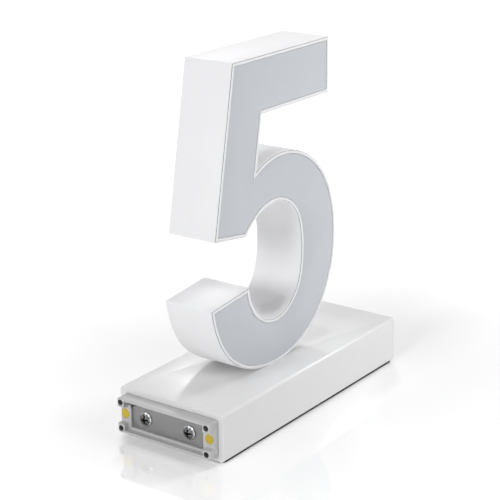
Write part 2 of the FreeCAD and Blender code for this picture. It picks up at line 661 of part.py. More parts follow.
# Plug: collar with four bored bosses, contact wall, plate window and a hollow spigot
def make_plug_frame():
    body = doc.addObject("PartDesign::Body", "plug_frame")
    collar = sketch_on(body, "plug_collar", "YZ_Plane", ("0", MIDDLE, PLUG_FRONT))
    draw_rectangle(collar, COLLAR_DEPTH, COLLAR_HEIGHT)
    pad(body, collar, "Sizes.plug_reach + Sizes.plug_spigot")
    rounded(body, "plug_long_edges", "Sizes.bore_corner", lambda edge: runs_along(edge, "x"))
    front = -size("base_length") / 2 - size("plug_reach")
    rounded(
        body, "plug_front_edges", "Sizes.plug_edge",
        lambda edge: abs(edge.BoundBox.XMax - front) < CLOSE,
    )
    front_depth = "Sizes.plug_reach - Sizes.pad_reach + Sizes.overrun"
    recess(
        body, "mouth", UPRIGHT, ("0", MIDDLE, PAD_PLANE), front_depth,
        f"{COLLAR_DEPTH} - 2 * Sizes.boss_width", f"{COLLAR_HEIGHT} - 2 * Sizes.lip_thickness",
    )
    recess(
        body, "side_cuts", UPRIGHT, ("0", MIDDLE, PAD_PLANE), front_depth,
        f"{COLLAR_DEPTH} + 2 * Sizes.overrun", f"{COLLAR_HEIGHT} - 2 * Sizes.boss_height",
    )
    recess(
        body, "window", UPRIGHT, ("0", MIDDLE, PLATE_BACK), f"{PLATE_BACK} - {PAD_PLANE} + Sizes.overrun",
        WINDOW_WIDTH, WINDOW_HEIGHT,
    )
    for side, sign in (("front", "-"), ("rear", "")):
        recess(
            body, f"{side}_notch", UPRIGHT, (f"{sign}{NOTCH_PITCH} / 2", NOTCH_MIDDLE, PLATE_BACK),
            f"{PLATE_BACK} - {PAD_PLANE}", "Sizes.notch_width", "Sizes.notch_height",
        )
    recess(
        body, "cavity", UPRIGHT, ("0", MIDDLE, PLUG_TAIL), f"{PLUG_TAIL} - {PLUG_WEB_BACK}",
        WINDOW_WIDTH, CAVITY_HEIGHT,
    )
    pierce(
        body, "rod_screw_holes", UPRIGHT, ("0", MIDDLE, PLUG_WEB_BACK),
        "Sizes.web_thickness + Sizes.overrun", "Sizes.end_screw_radius + Sizes.screw_gap", END_SCREW_PITCH,
    )
    pierce(
        body, "boss_bores", UPRIGHT, ("0", MIDDLE, f"{PLUG_FRONT} + Sizes.boss_bore_depth"),
        "Sizes.boss_bore_depth + Sizes.overrun", "Sizes.boss_bore_radius", BOSS_PITCH_ACROSS, BOSS_PITCH_UP,
    )
    pierce(
        body, "pad_seats", UPRIGHT, ("0", MIDDLE, f"{PAD_PLANE} + Sizes.pad_thickness"),
        "Sizes.pad_thickness + Sizes.fit_gap", "Sizes.pad_radius + Sizes.fit_gap", CONTACT_PITCH,
    )
    pierce(
        body, "stem_holes", UPRIGHT, ("0", MIDDLE, PLUG_TAIL), f"{PLUG_TAIL} - {PAD_PLANE}",
        "Sizes.stem_radius + Sizes.fit_gap", CONTACT_PITCH,
    )
    return node(body)


def end_gasket(name, start):
    return node(rounded_slab(
        name, UPRIGHT, COLLAR_DEPTH, COLLAR_HEIGHT, ("0", MIDDLE, start), "Sizes.gasket_thickness",
        "Sizes.bore_corner",
        (f"{BORE_DEPTH} - 2 * Sizes.ledge_width", f"{BORE_HEIGHT} - 2 * Sizes.ledge_width"),
    ))


def end_plate(name, start, thickness, front=None):
    """A metal plate in a frame's window, with two screw holes, sunk where front is given."""
    plate = rounded_slab(
        name, UPRIGHT, f"{WINDOW_WIDTH} - 2 * Sizes.fit_gap", f"{WINDOW_HEIGHT} - 2 * Sizes.fit_gap",
        ("0", MIDDLE, start), thickness, "Sizes.fit_gap",
    )
    pierce(
        plate, "screw_holes", UPRIGHT, ("0", MIDDLE, f"{start} + {thickness} + Sizes.overrun"),
        f"{thickness} + 2 * Sizes.overrun", "Sizes.end_screw_radius + Sizes.screw_gap", END_SCREW_PITCH,
    )
    if front is not None:
        hole_radius = size("end_screw_radius") + size("screw_gap")
        dress(
            "Chamfer", plate, f"{name}_sinks", lambda edge: is_rim(edge, hole_radius, "x", front),
            Size="Sizes.sunk_head_radius - Sizes.end_screw_radius",
        )
    return node(plate)


# A domed screw head with a cross recess, pointing along -X, and its shank
def make_plug_screws():
    centre = (f"{END_SCREW_PITCH} / 2", MIDDLE)
    head_front = f"({PLATE_FRONT} - Sizes.pan_head_height)"
    crown_radius = "((Sizes.pan_head_radius ^ 2 + Sizes.pan_head_crown ^ 2) / (2 * Sizes.pan_head_crown))"
    drum = turned("plug_screw_drum", "x", centre, [(head_front, PLATE_FRONT, "Sizes.pan_head_radius")])
    ball = doc.addObject("Part::Sphere", "plug_screw_ball")
    bind(ball, Radius=crown_radius)
    put(ball, "x", f"({head_front} + {crown_radius})", centre)
    head = common("plug_screw_head", drum, ball)
    slots = [
        block(
            f"plug_screw_slot{number}",
            (f"({head_front} - Sizes.overrun)", f"({head_front} + Sizes.cross_depth)"),
            about(centre[0], wide),
            about(centre[1], high),
        )
        for number, (wide, high) in enumerate([
            ("Sizes.cross_reach", "Sizes.cross_width"),
            ("Sizes.cross_width", "Sizes.cross_reach"),
        ])
    ]
    recessed = cut("plug_screw_recessed", head, *slots)
    shank = turned(
        "plug_screw_shank", "x", centre,
        [(PLATE_FRONT, f"({PLATE_FRONT} + Sizes.end_screw_length)", "Sizes.end_screw_radius")],
    )
    screw = fuse("plug_screw", recessed, shank)
    return node(group("plug_screws", screw, mirrored("plug_screw_twin", screw, ACROSS)))


def make_contact_pads():
    for side, sign in (("front", "-"), ("rear", "")):
        node(turned(
            f"contact_pad_{side}", "x", (f"{sign}{CONTACT_PITCH} / 2", MIDDLE),
            [
                (PAD_PLANE, f"({PAD_PLANE} + Sizes.pad_thickness)", "Sizes.pad_radius"),
                (f"({PAD_PLANE} + Sizes.pad_thickness)", PLUG_TAIL, "Sizes.stem_radius"),
                (PLUG_TAIL, PAD_TAIL_END, "Sizes.tail_radius"),
            ],
        ))


# Socket: web with flush plate, hollow behind, bored for pins and contact sleeves
def make_socket_frame():
    body = doc.addObject("PartDesign::Body", "socket_frame")
    collar = sketch_on(body, "socket_collar", "YZ_Plane", ("0", MIDDLE, SOCKET_TAIL))
    draw_rectangle(collar, COLLAR_DEPTH, COLLAR_HEIGHT)
    pad(body, collar, "Sizes.socket_spigot")
    rounded(body, "socket_long_edges", "Sizes.bore_corner", lambda edge: runs_along(edge, "x"))
    recess(
        body, "window", UPRIGHT, ("0", MIDDLE, SOCKET_FLOOR), "Sizes.socket_plate_thickness",
        WINDOW_WIDTH, WINDOW_HEIGHT,
    )
    recess(
        body, "cavity", UPRIGHT, ("0", MIDDLE, SOCKET_WEB_BACK),
        f"{SOCKET_WEB_BACK} - {SOCKET_TAIL} + Sizes.overrun", WINDOW_WIDTH, CAVITY_HEIGHT,
    )
    pierce(
        body, "rod_screw_holes", UPRIGHT, ("0", MIDDLE, SOCKET_PLATE_BACK),
        "Sizes.web_thickness + Sizes.overrun", "Sizes.end_screw_radius + Sizes.screw_gap", END_SCREW_PITCH,
    )
    pierce(
        body, "pin_holes", UPRIGHT, ("0", MIDDLE, SOCKET_FLOOR), "Sizes.pin_seat",
        "Sizes.pin_radius + Sizes.fit_gap / 2", BOSS_PITCH_ACROSS, BOSS_PITCH_UP,
    )
    pierce(
        body, "sleeve_holes", UPRIGHT, ("0", MIDDLE, SOCKET_FLOOR), "Sizes.socket_spigot + Sizes.overrun",
        "Sizes.sleeve_radius + Sizes.fit_gap / 2", CONTACT_PITCH,
    )
    return node(body)


def make_socket_screws():
    screw = turned(
        "socket_screw", "x", (f"{END_SCREW_PITCH} / 2", MIDDLE),
        [
            (f"({SOCKET_FLOOR} - Sizes.end_screw_length)", SOCKET_FLOOR, "Sizes.end_screw_radius"),
            (
                f"({SOCKET_FLOOR} - Sizes.sunk_head_radius + Sizes.end_screw_radius)", SOCKET_FLOOR,
                "Sizes.end_screw_radius", "Sizes.sunk_head_radius",
            ),
        ],
    )
    return node(group("socket_screws", screw, mirrored("socket_screw_twin", screw, ACROSS)))


def make_guide_pins():
    corner = turned(
        "guide_pin", "x", (f"{BOSS_PITCH_ACROSS} / 2", f"({MIDDLE} + {BOSS_PITCH_UP} / 2)"),
        [
            (
                f"({SOCKET_FLOOR} - Sizes.pin_seat)",
                f"({SOCKET_FLOOR} + Sizes.pin_reach - Sizes.pin_tip)", "Sizes.pin_radius",
            ),
            (
                f"({SOCKET_FLOOR} + Sizes.pin_reach - Sizes.pin_tip)",
                f"({SOCKET_FLOOR} + Sizes.pin_reach)", "Sizes.pin_radius", "(Sizes.pin_radius - Sizes.pin_tip)",
            ),
        ],
    )
    upper = group("guide_pins_upper", corner, mirrored("guide_pin_twin", corner, ACROSS))
    lower = mirrored("guide_pins_lower", upper, UPWARD)
    bind(lower, Base__z=MIDDLE)
    return node(group("guide_pins", upper, lower))


def make_tie_rods():
    centre = (f"{END_SCREW_PITCH} / 2", MIDDLE)
    bore = "(Sizes.end_screw_radius + Sizes.fit_gap / 2)"
    blank = turned("tie_rod_blank", "x", centre, [(PLUG_WEB_BACK, SOCKET_WEB_BACK, "Sizes.tie_rod_radius")])
    bores = [
        turned(
            "tie_rod_plug_bore", "x", centre,
            [(f"({PLUG_WEB_BACK} - Sizes.overrun)", f"({PLUG_WEB_BACK} + Sizes.end_screw_length)", bore)],
        ),
        turned(
            "tie_rod_socket_bore", "x", centre,
            [(f"({SOCKET_WEB_BACK} - Sizes.end_screw_length)", f"({SOCKET_WEB_BACK} + Sizes.overrun)", bore)],
        ),
    ]
    rod = cut("tie_rod", blank, *bores)
    return node(group("tie_rods", rod, mirrored("tie_rod_twin", rod, ACROSS)))


# Sprung contacts of the socket: sleeve, plunger and coil spring
PLUNGER_TIP = f"({SOCKET_FLOOR} + Sizes.plunger_reach)"
COLLAR_FRONT = f"({SOCKET_FLOOR} - Sizes.sleeve_lip - Sizes.stop_gap)"
COLLAR_BACK = f"({COLLAR_FRONT} - Sizes.plunger_collar)"
SPRING_SEAT = f"({SOCKET_TAIL} + Sizes.sleeve_back)"
COLLAR_RADIUS = "(Sizes.sleeve_bore_radius - Sizes.plunger_gap)"
SPRING_TURNS = 4


def make_sprung_contact(side, sign):
    centre = (f"{sign}{CONTACT_PITCH} / 2", MIDDLE)
    shell = turned(
        f"contact_shell_{side}", "x", centre,
        [
            (SLEEVE_TAIL_END, SOCKET_TAIL, "Sizes.tail_radius"),
            (SOCKET_TAIL, SOCKET_FLOOR, "Sizes.sleeve_radius"),
        ],
    )
    hollow = turned(
        f"contact_hollow_{side}", "x", centre,
        [
            (SPRING_SEAT, f"({SOCKET_FLOOR} - Sizes.sleeve_lip)", "Sizes.sleeve_bore_radius"),
            (
                f"({SOCKET_FLOOR} - Sizes.sleeve_lip - Sizes.overrun)", f"({SOCKET_FLOOR} + Sizes.overrun)",
                "(Sizes.plunger_radius + Sizes.plunger_gap)",
            ),
        ],
    )
    node(cut(f"contact_sleeve_{side}", shell, hollow))

    crown_radius = "((Sizes.plunger_radius ^ 2 + Sizes.plunger_crown ^ 2) / (2 * Sizes.plunger_crown))"
    nose = turned(f"plunger_nose_{side}", "x", centre, [(COLLAR_FRONT, PLUNGER_TIP, "Sizes.plunger_radius")])
    ball = doc.addObject("Part::Sphere", f"plunger_ball_{side}")
    bind(ball, Radius=crown_radius)
    put(ball, "x", f"({PLUNGER_TIP} - {crown_radius})", centre)
    waist = turned(
        f"plunger_waist_{side}", "x", centre,
        [(COLLAR_FRONT, f"({PLUNGER_TIP} - Sizes.plunger_crown)", "Sizes.plunger_radius")],
    )
    collar = turned(f"plunger_collar_{side}", "x", centre, [(COLLAR_BACK, COLLAR_FRONT, COLLAR_RADIUS)])
    node(fuse(f"contact_plunger_{side}", common(f"plunger_crown_{side}", nose, ball), waist, collar))

    coil_radius = f"({COLLAR_RADIUS} - Sizes.spring_wire / 2 - Sizes.spring_gap)"
    coil_length = f"({COLLAR_BACK} - {SPRING_SEAT} - Sizes.spring_wire - 2 * Sizes.spring_gap)"
    coil = doc.addObject("Part::Helix", f"spring_line_{side}")
    bind(coil, Radius=coil_radius, Height=coil_length, Pitch=f"{coil_length} / {SPRING_TURNS}")
    wire = doc.addObject("Part::RegularPolygon", f"spring_wire_{side}")
    wire.Polygon = 4
    wire.Placement.Rotation = Rotation(Vector(1, 0, 0), 90) * Rotation(Vector(0, 0, 1), 45)
    bind(wire, Circumradius="Sizes.spring_wire / sqrt(2)", Placement__Base__x=coil_radius)
    spring = doc.addObject("Part::Sweep", f"contact_spring_{side}")
    spring.Sections = [wire]
    spring.Spine = (coil, ["Edge1"])
    spring.Solid = True
    spring.Frenet = True
    put(spring, "x", f"({SPRING_SEAT} + Sizes.spring_wire / 2 + Sizes.spring_gap)", centre)
    node(spring)


# Driver board, its screws and its parts
def make_driver():
    board = rounded_slab(
        "driver_board", FLAT, BOARD_LENGTH, BOARD_DEPTH,
        (HATCH_CENTRE, "0", BOARD_BOTTOM), "Sizes.board_thickness", "Sizes.hatch_corner",
    )
    pierce(
        board, "screw_holes", FLAT, (HATCH_CENTRE, "0", f"{BOARD_TOP} + Sizes.overrun"),
        "Sizes.board_thickness + 2 * Sizes.overrun", "Sizes.small_screw_radius + Sizes.screw_gap",
        BOARD_SCREW_LONG, BOARD_SCREW_SHORT,
    )
    node(board)

    corner = turned(
        "board_screw", "z",
        (f"({HATCH_CENTRE} + {BOARD_SCREW_LONG} / 2)", f"{BOARD_SCREW_SHORT} / 2"),
        [
            (f"({BOARD_TOP} - Sizes.small_screw_length)", BOARD_TOP, "Sizes.small_screw_radius"),
            (BOARD_TOP, f"({BOARD_TOP} + Sizes.small_head_height)", "Sizes.small_head_radius"),
        ],
    )
    right = group("board_screws_right", corner, mirrored("board_screw_twin", corner, ACROSS))
    left = mirrored("board_screws_left", right, ALONG)
    bind(left, Base__x=HATCH_CENTRE)
    node(group("board_screws", right, left))

    choke_centre = (f"({HATCH_CENTRE} - {CHOKE_REACH})", "0")
    choke_corner = f"({BOARD_TOP} + Sizes.choke_height - Sizes.choke_corner)"
    choke_top = f"({BOARD_TOP} + Sizes.choke_height)"
    ring = turned(
        "choke_ring", "z", choke_centre,
        [
            (BOARD_TOP, choke_corner, "Sizes.choke_radius"),
            (choke_corner, choke_top, "Sizes.choke_radius", "(Sizes.choke_radius - Sizes.choke_corner)"),
        ],
    )
    bore = turned(
        "choke_bore", "z", choke_centre,
        [(f"({BOARD_TOP} - Sizes.overrun)", f"({choke_top} + Sizes.overrun)", "Sizes.choke_bore_radius")],
    )
    node(cut("driver_choke", ring, bore))

    can_shoulder = f"({BOARD_TOP} + Sizes.capacitor_height - Sizes.capacitor_corner)"
    cans = [
        turned(
            f"capacitor{number}", "z",
            (f"({HATCH_CENTRE} + {CAPACITOR_REACH} - {number} * {CAPACITOR_PITCH})", "0"),
            [
                (BOARD_TOP, can_shoulder, "Sizes.capacitor_radius"),
                (
                    can_shoulder, f"({BOARD_TOP} + Sizes.capacitor_height)",
                    "Sizes.capacitor_radius", "(Sizes.capacitor_radius - Sizes.capacitor_corner)",
                ),
            ],
        )
        for number in range(2)
    ]
    node(group("driver_capacitors", *cans))

    height = (BOARD_TOP, f"({BOARD_TOP} + Sizes.terminal_height)")
    depth = about("0", TERMINAL_DEPTH)
    inlet = (f"({HATCH_CENTRE} - {TERMINAL_REACH})", f"({HATCH_CENTRE} - {TERMINAL_INNER})")
    outlet = (f"({HATCH_CENTRE} + {TERMINAL_INNER})", f"({HATCH_CENTRE} + {TERMINAL_REACH})")
    figure_span = about(f"({FOOT_CENTRE} + Sizes.figure_terminal_shift)", "Sizes.figure_terminal_length")
    node(group(
        "driver_terminals",
        block("inlet_terminal", inlet, depth, height),
        block("outlet_terminal", outlet, depth, height),
        block("figure_terminal", figure_span, about(FIGURE_MIDDLE, "Sizes.figure_terminal_depth"), height),
    ))


# Leads: straight runs joined by tangent arcs
def route(points):
    """A wire of straight runs and arcs, each arc as large as its two runs allow."""
    arc_share = 0.45
    edges = []
    start = points[0]
    for before, here, after in zip(points, points[1:], points[2:]):
        back = before - here
        ahead = after - here
        half_turn = (math.pi - back.getAngle(ahead)) / 2
        tangent = arc_share * min(back.Length, ahead.Length)
        radius = tangent / math.tan(half_turn)
        back.normalize()
        ahead.normalize()
        bisector = back + ahead
        bisector.normalize()
        entry = here + back * tangent
        leave = here + ahead * tangent
        middle = here + bisector * (radius / math.cos(half_turn) - radius)
        edges.append(Part.LineSegment(start, entry).toShape())
        edges.append(Part.Arc(entry, middle, leave).toShape())
        start = leave
    edges.append(Part.LineSegment(start, points[-1]).toShape())
    return Part.Wire(edges)


LEAD_SIDES = 6


def lead(name, places, radius):
    """A lead through places bound to expressions, its section a polygon."""
    marks = [doc.addObject("Part::Vertex", f"{name}_mark{number}") for number in range(len(places))]
    for mark, (x, y, z) in zip(marks, places):
        bind(mark, X=x, Y=y, Z=z)
    doc.recompute()
    points = [Vector(mark.X.Value, mark.Y.Value, mark.Z.Value) for mark in marks]
    turn = Rotation(Vector(0, 0, 1), points[1] - points[0])
    corners = []
    for step in range(LEAD_SIDES + 1):
        angle = 2 * math.pi * step / LEAD_SIDES
        corners.append(points[0] + turn.multVec(Vector(math.cos(angle), math.sin(angle), 0) * radius))
    piece = doc.addObject("Part::Feature", name)
    piece.Shape = route(points).makePipeShell([Part.makePolygon(corners)], True, False)
    return node(piece)


def make_leads():
    loop = f"({MIDDLE} + Sizes.tie_rod_radius + Sizes.lead_gap + Sizes.lead_radius)"
    terminal_top = f"({BOARD_TOP} + Sizes.terminal_height)"
    reach = f"({TERMINAL_REACH} - Sizes.terminal_length / 2)"
    for way, tail, inward, terminal in (
        ("inlet", PAD_TAIL_END, "+", f"({HATCH_CENTRE} - {reach})"),
        ("outlet", SLEEVE_TAIL_END, "-", f"({HATCH_CENTRE} + {reach})"),
    ):
        straight_end = f"({tail} {inward} Sizes.lead_straight)"
        slant_end = f"({straight_end} {inward} Sizes.lead_slant)"
        for side, sign in (("front", "-"), ("rear", "")):
            wide = f"{sign}{CONTACT_PITCH} / 2"
            narrow = f"{sign}{TERMINAL_DEPTH} / 4"
            lead(
                f"{way}_lead_{side}",
                [
                    (tail, wide, MIDDLE),
                    (straight_end, wide, MIDDLE),
                    (slant_end, f"({wide} + {narrow}) / 2", loop),
                    (terminal, narrow, loop),
                    (terminal, narrow, terminal_top),
                ],
                size("lead_radius"),
            )
    start = f"({FOOT_CENTRE} + Sizes.figure_terminal_shift)"
    rise = f"({terminal_top} + Sizes.figure_lead_rise)"
    for side, sign in (("front", "-"), ("rear", "+")):
        spread = f"({FIGURE_MIDDLE} {sign} Sizes.figure_terminal_depth / 4)"
        close = f"({FIGURE_MIDDLE} {sign} Sizes.figure_lead_pitch / 2)"
        lead(
            f"figure_lead_{side}",
            [
                (start, spread, terminal_top),
                (start, spread, rise),
                (FOOT_CENTRE, close, rise),
                (FOOT_CENTRE, close, "Sizes.base_top + Sizes.connector_rise"),
            ],
            size("figure_lead_radius"),
        )


# Figure outline: shares of the figure's width and height, with headings in degrees
# where the line is tangent
HOOK_TIP_SHARE = (0.0, 0.273)
INNER_BOWL_SHARES = [
    (0.284, 0.293, -83),
    (0.356, 0.191, -43),
    (0.494, 0.153, 0),
    (0.645, 0.202, 50),
    (0.707, 0.348, 90),
    (0.646, 0.486, 132),
    (0.486, 0.532, 180),
    (0.266, 0.459, 228),
]
STEM_AND_BAR_SHARES = [
    (0.034, 0.481),
    (0.180, 1.0),
    (0.934, 1.0),
    (0.934, 0.821),
    (0.397, 0.821),
]
OUTER_BOWL_SHARES = [
    (0.352, 0.652, 27),
    (0.547, 0.684, 0),
    (0.868, 0.591, -46),
    (1.0, 0.351, -90),
    (0.894, 0.132, -126),
    (0.491, 0.0, 180),
    (0.155, 0.074, 140),
    (0.0, 0.273, 98),
]


PROPORTION_SHARE = 0.67


def figure_point(across_share, up_share):
    left = -size("figure_shift") - size("figure_width") / 2
    bottom = size("base_top") - size("figure_sink")
    return Vector(left + across_share * size("figure_width"), 0, bottom + up_share * size("figure_height"))


def heading(degrees):
    """A unit direction, turned with the figure's proportions as its points are."""
    turn = math.radians(degrees)
    along = math.cos(turn) * size("figure_width")
    up = math.sin(turn) * size("figure_height") * PROPORTION_SHARE
    return Vector(along, 0, up).normalize()


# A run is one stretch of a line: its start, the heading there, its end, the heading there
def run_between(start, leave, end):
    """A run that leaves start in a direction: an arc, or straight where end lies ahead."""
    chord = (end - start).normalize()
    return start, leave, end, chord * (2 * leave.dot(chord)) - leave


def straight(points):
    return [run_between(a, (b - a).normalize(), b) for a, b in zip(points, points[1:])]


def two_arcs(start, leave, end, arrive):
    """Two arcs that meet tangentially, with given headings at the outer ends."""
    span = end - start
    both = leave + arrive
    bend = 2 * (1 - leave.dot(arrive))
    reach = (-span.dot(both) + math.sqrt(span.dot(both) ** 2 + bend * span.dot(span))) / bend
    joint = (start + leave * reach + end - arrive * reach) * 0.5
    first = run_between(start, leave, joint)
    return [first, run_between(joint, first[3], end)]


def bowl(shares):
    """Arcs through a list of points with headings."""
    runs = []
    for (*here, turn), (*there, next_turn) in zip(shares, shares[1:]):
        runs += two_arcs(figure_point(*here), heading(turn), figure_point(*there), heading(next_turn))
    return runs


def centre_of(run):
    """The centre of a run's arc, or None where the run is straight."""
    start, leave, end, _ = run
    chord = end - start
    side = chord - leave * chord.dot(leave)
    if side.Length < CLOSE:
        return None
    return start + side * (chord.dot(chord) / (2 * side.dot(side)))


def inward(direction):
    """To the right of a direction of travel, which is into the figure's stroke."""
    return Vector(direction.z, 0, -direction.x)


def moved(run, distance):
    start, leave, end, arrive = run
    return start + inward(leave) * distance, leave, end + inward(arrive) * distance, arrive


def corner_between(before, after):
    """Where one run ends and the next begins, once both are extended or cut back to meet."""
    if (before[2] - after[0]).Length < CLOSE:
        return before[2]
    line, other = (before, after) if centre_of(before) is None else (after, before)
    point, direction = line[:2]
    centre = centre_of(other)
    if centre is None:
        aside = inward(other[1])
        return point + direction * ((other[0] - point).dot(aside) / direction.dot(aside))
    nearest = point + direction * (centre - point).dot(direction)
    half = direction * math.sqrt((other[0] - centre).Length ** 2 - (nearest - centre).Length ** 2)
    return min((nearest + half, nearest - half), key=lambda place: (place - before[2]).Length)


def edge_of(run, start, end):
    """The edge of a run between two points on its line or arc."""
    centre = centre_of(run)
    if centre is None:
        return Part.LineSegment(start, end).toShape()
    halfway = start + end - centre * 2
    middle = centre + halfway * ((start - centre).Length / halfway.Length)
    return Part.Arc(start, middle, end).toShape()


def inset(name, distance, inner_corners="sharp"):
    """The figure's outline drawn in by a distance; its inner corners stay sharp or get an arc."""
    inner_start = figure_point(*INNER_BOWL_SHARES[0][:2])
    inner_end = figure_point(*INNER_BOWL_SHARES[-1][:2])
    outer_start = figure_point(*OUTER_BOWL_SHARES[0][:2])
    runs = straight([figure_point(*HOOK_TIP_SHARE), inner_start])
    runs += bowl(INNER_BOWL_SHARES)
    runs += straight([inner_end] + [figure_point(*share) for share in STEM_AND_BAR_SHARES] + [outer_start])
    runs += bowl(OUTER_BOWL_SHARES)
    ends = [run[2] for run in runs]
    runs = [moved(run, distance) for run in runs]
    joints = []
    for before, after in zip(runs, runs[1:] + runs[:1]):
        if inner_corners == "round" and inward(before[3]).dot(after[1]) < -CLOSE:
            joints.append((before[2], after[0]))
        else:
            joints.append((corner_between(before, after),) * 2)
    edges = []
    for run, corner, (_, start), (end, next_start) in zip(runs, ends, joints[-1:] + joints, joints):
        edges.append(edge_of(run, start, end))
        if end != next_start:
            middle = corner + (end + next_start - corner * 2).normalize() * distance
            edges.append(Part.Arc(end, middle, next_start).toShape())
    line = doc.addObject("Part::Feature", name)
    line.Shape = Part.Wire(edges)
    return line


def slab(name, profile, front, back):
    """A profile in the XZ plane made solid between two places on Y."""
    solid = doc.addObject("Part::Extrusion", name)
    solid.Base = profile
    solid.DirMode = "Custom"
    solid.Dir = Vector(0, 1, 0)
    solid.Solid = True
    return bind(solid, LengthFwd=f"{back} - {front}", Placement__Base__y=front)


def below_foot(name):
    """The space under the figure's flat foot."""
    return block(
        name, (LEFT_END, RIGHT_END), (f"({FIGURE_FRONT} - Sizes.overrun)", f"({FIGURE_BACK} + Sizes.overrun)"),
        ("(Sizes.base_top - Sizes.foot_thickness)", "Sizes.base_top"),
    )


# Figure shell: open in front, with a rebate for the cover, a foot and board pillars
def make_figure_body():
    outside = slab("body_outside", inset("body_line", 0), BODY_FRONT, FIGURE_BACK)
    inside = slab("body_inside", inset("wall_line", size("wall_thickness")), BEFORE_BODY, BACK_WALL)
    rebate = slab("body_rebate", inset("lip_line", size("lip_width")), BEFORE_BODY, COVER_SEAT)
    shell = cut("body_shell", outside, inside, rebate)
    foot = block(
        "body_foot", about(FOOT_CENTRE, "Sizes.foot_length"), (COVER_SEAT, f"({BACK_WALL} + Sizes.overrun)"),
        ("(Sizes.base_top - Sizes.overrun / 2)", FOOT_TOP),
    )
    pillars = [
        turned(
            f"light_pillar{number}", "y", (across, up),
            [(LIGHT_BOARD_BACK, f"({BACK_WALL} + Sizes.overrun)", "Sizes.light_pillar_radius")],
        )
        for number, (across, up) in enumerate(LIGHT_SCREW_PLACES)
    ]
    pillar_bores = [
        turned(
            f"light_bore{number}", "y", (across, up),
            [(
                f"({LIGHT_BOARD_BACK} - Sizes.overrun)", BACK_WALL,
                "(Sizes.small_screw_radius + Sizes.fit_gap / 2)",
            )],
        )
        for number, (across, up) in enumerate(LIGHT_SCREW_PLACES)
    ]
    foot_span = ("(Sizes.base_top - Sizes.overrun)", f"({FOOT_TOP} + Sizes.overrun)")
    holes = [
        turned("body_lead_hole", "z", (FOOT_CENTRE, FIGURE_MIDDLE), [(*foot_span, LEAD_HOLE)]),
        turned("body_front_hole", "z", (FOOT_CENTRE, SCREW_FRONT), [(*foot_span, SCREW_HOLE)]),
        turned("body_rear_hole", "z", (FOOT_CENTRE, SCREW_REAR), [(*foot_span, SCREW_HOLE)]),
        block(
            "body_gasket_recess", about(FOOT_CENTRE, "(Sizes.block_length + 2 * Sizes.fit_gap)"),
            about(FIGURE_MIDDLE, "(Sizes.block_depth + 2 * Sizes.fit_gap)"),
            ("(Sizes.base_top - Sizes.overrun)", "(Sizes.base_top + Sizes.figure_gasket_thickness)"),
        ),
    ]
    filled = fuse("body_filled", shell, foot, *pillars)
    return node(cut("figure_body", filled, below_foot("body_below"), *holes, *pillar_bores))


def make_figure_front():
    """The seal, the cover with its rim and the grey face, nested from the one outline."""
    cover_inset = size("lip_width") + size("fit_gap")
    pocket_inset = cover_inset + size("rim_width")
    seal = cut(
        "seal_ring",
        slab("seal_outside", inset("seal_line", cover_inset), COVER_BACK, COVER_SEAT),
        slab("seal_inside", inset("seal_inner_line", size("wall_thickness")), BEFORE_BODY, BACK_WALL),
    )
    node(cut("figure_seal", seal, below_foot("seal_below")))

    plate = slab("cover_plate", inset("cover_line", cover_inset), FIGURE_FRONT, COVER_BACK)
    sunk = slab("cover_pocket", inset("pocket_line", pocket_inset), BEFORE_BODY, POCKET_FLOOR)
    node(cut("figure_cover", plate, sunk, below_foot("cover_below")))

    node(slab("figure_face", inset("face_line", pocket_inset + size("face_gap")), FACE_FRONT, POCKET_FLOOR))


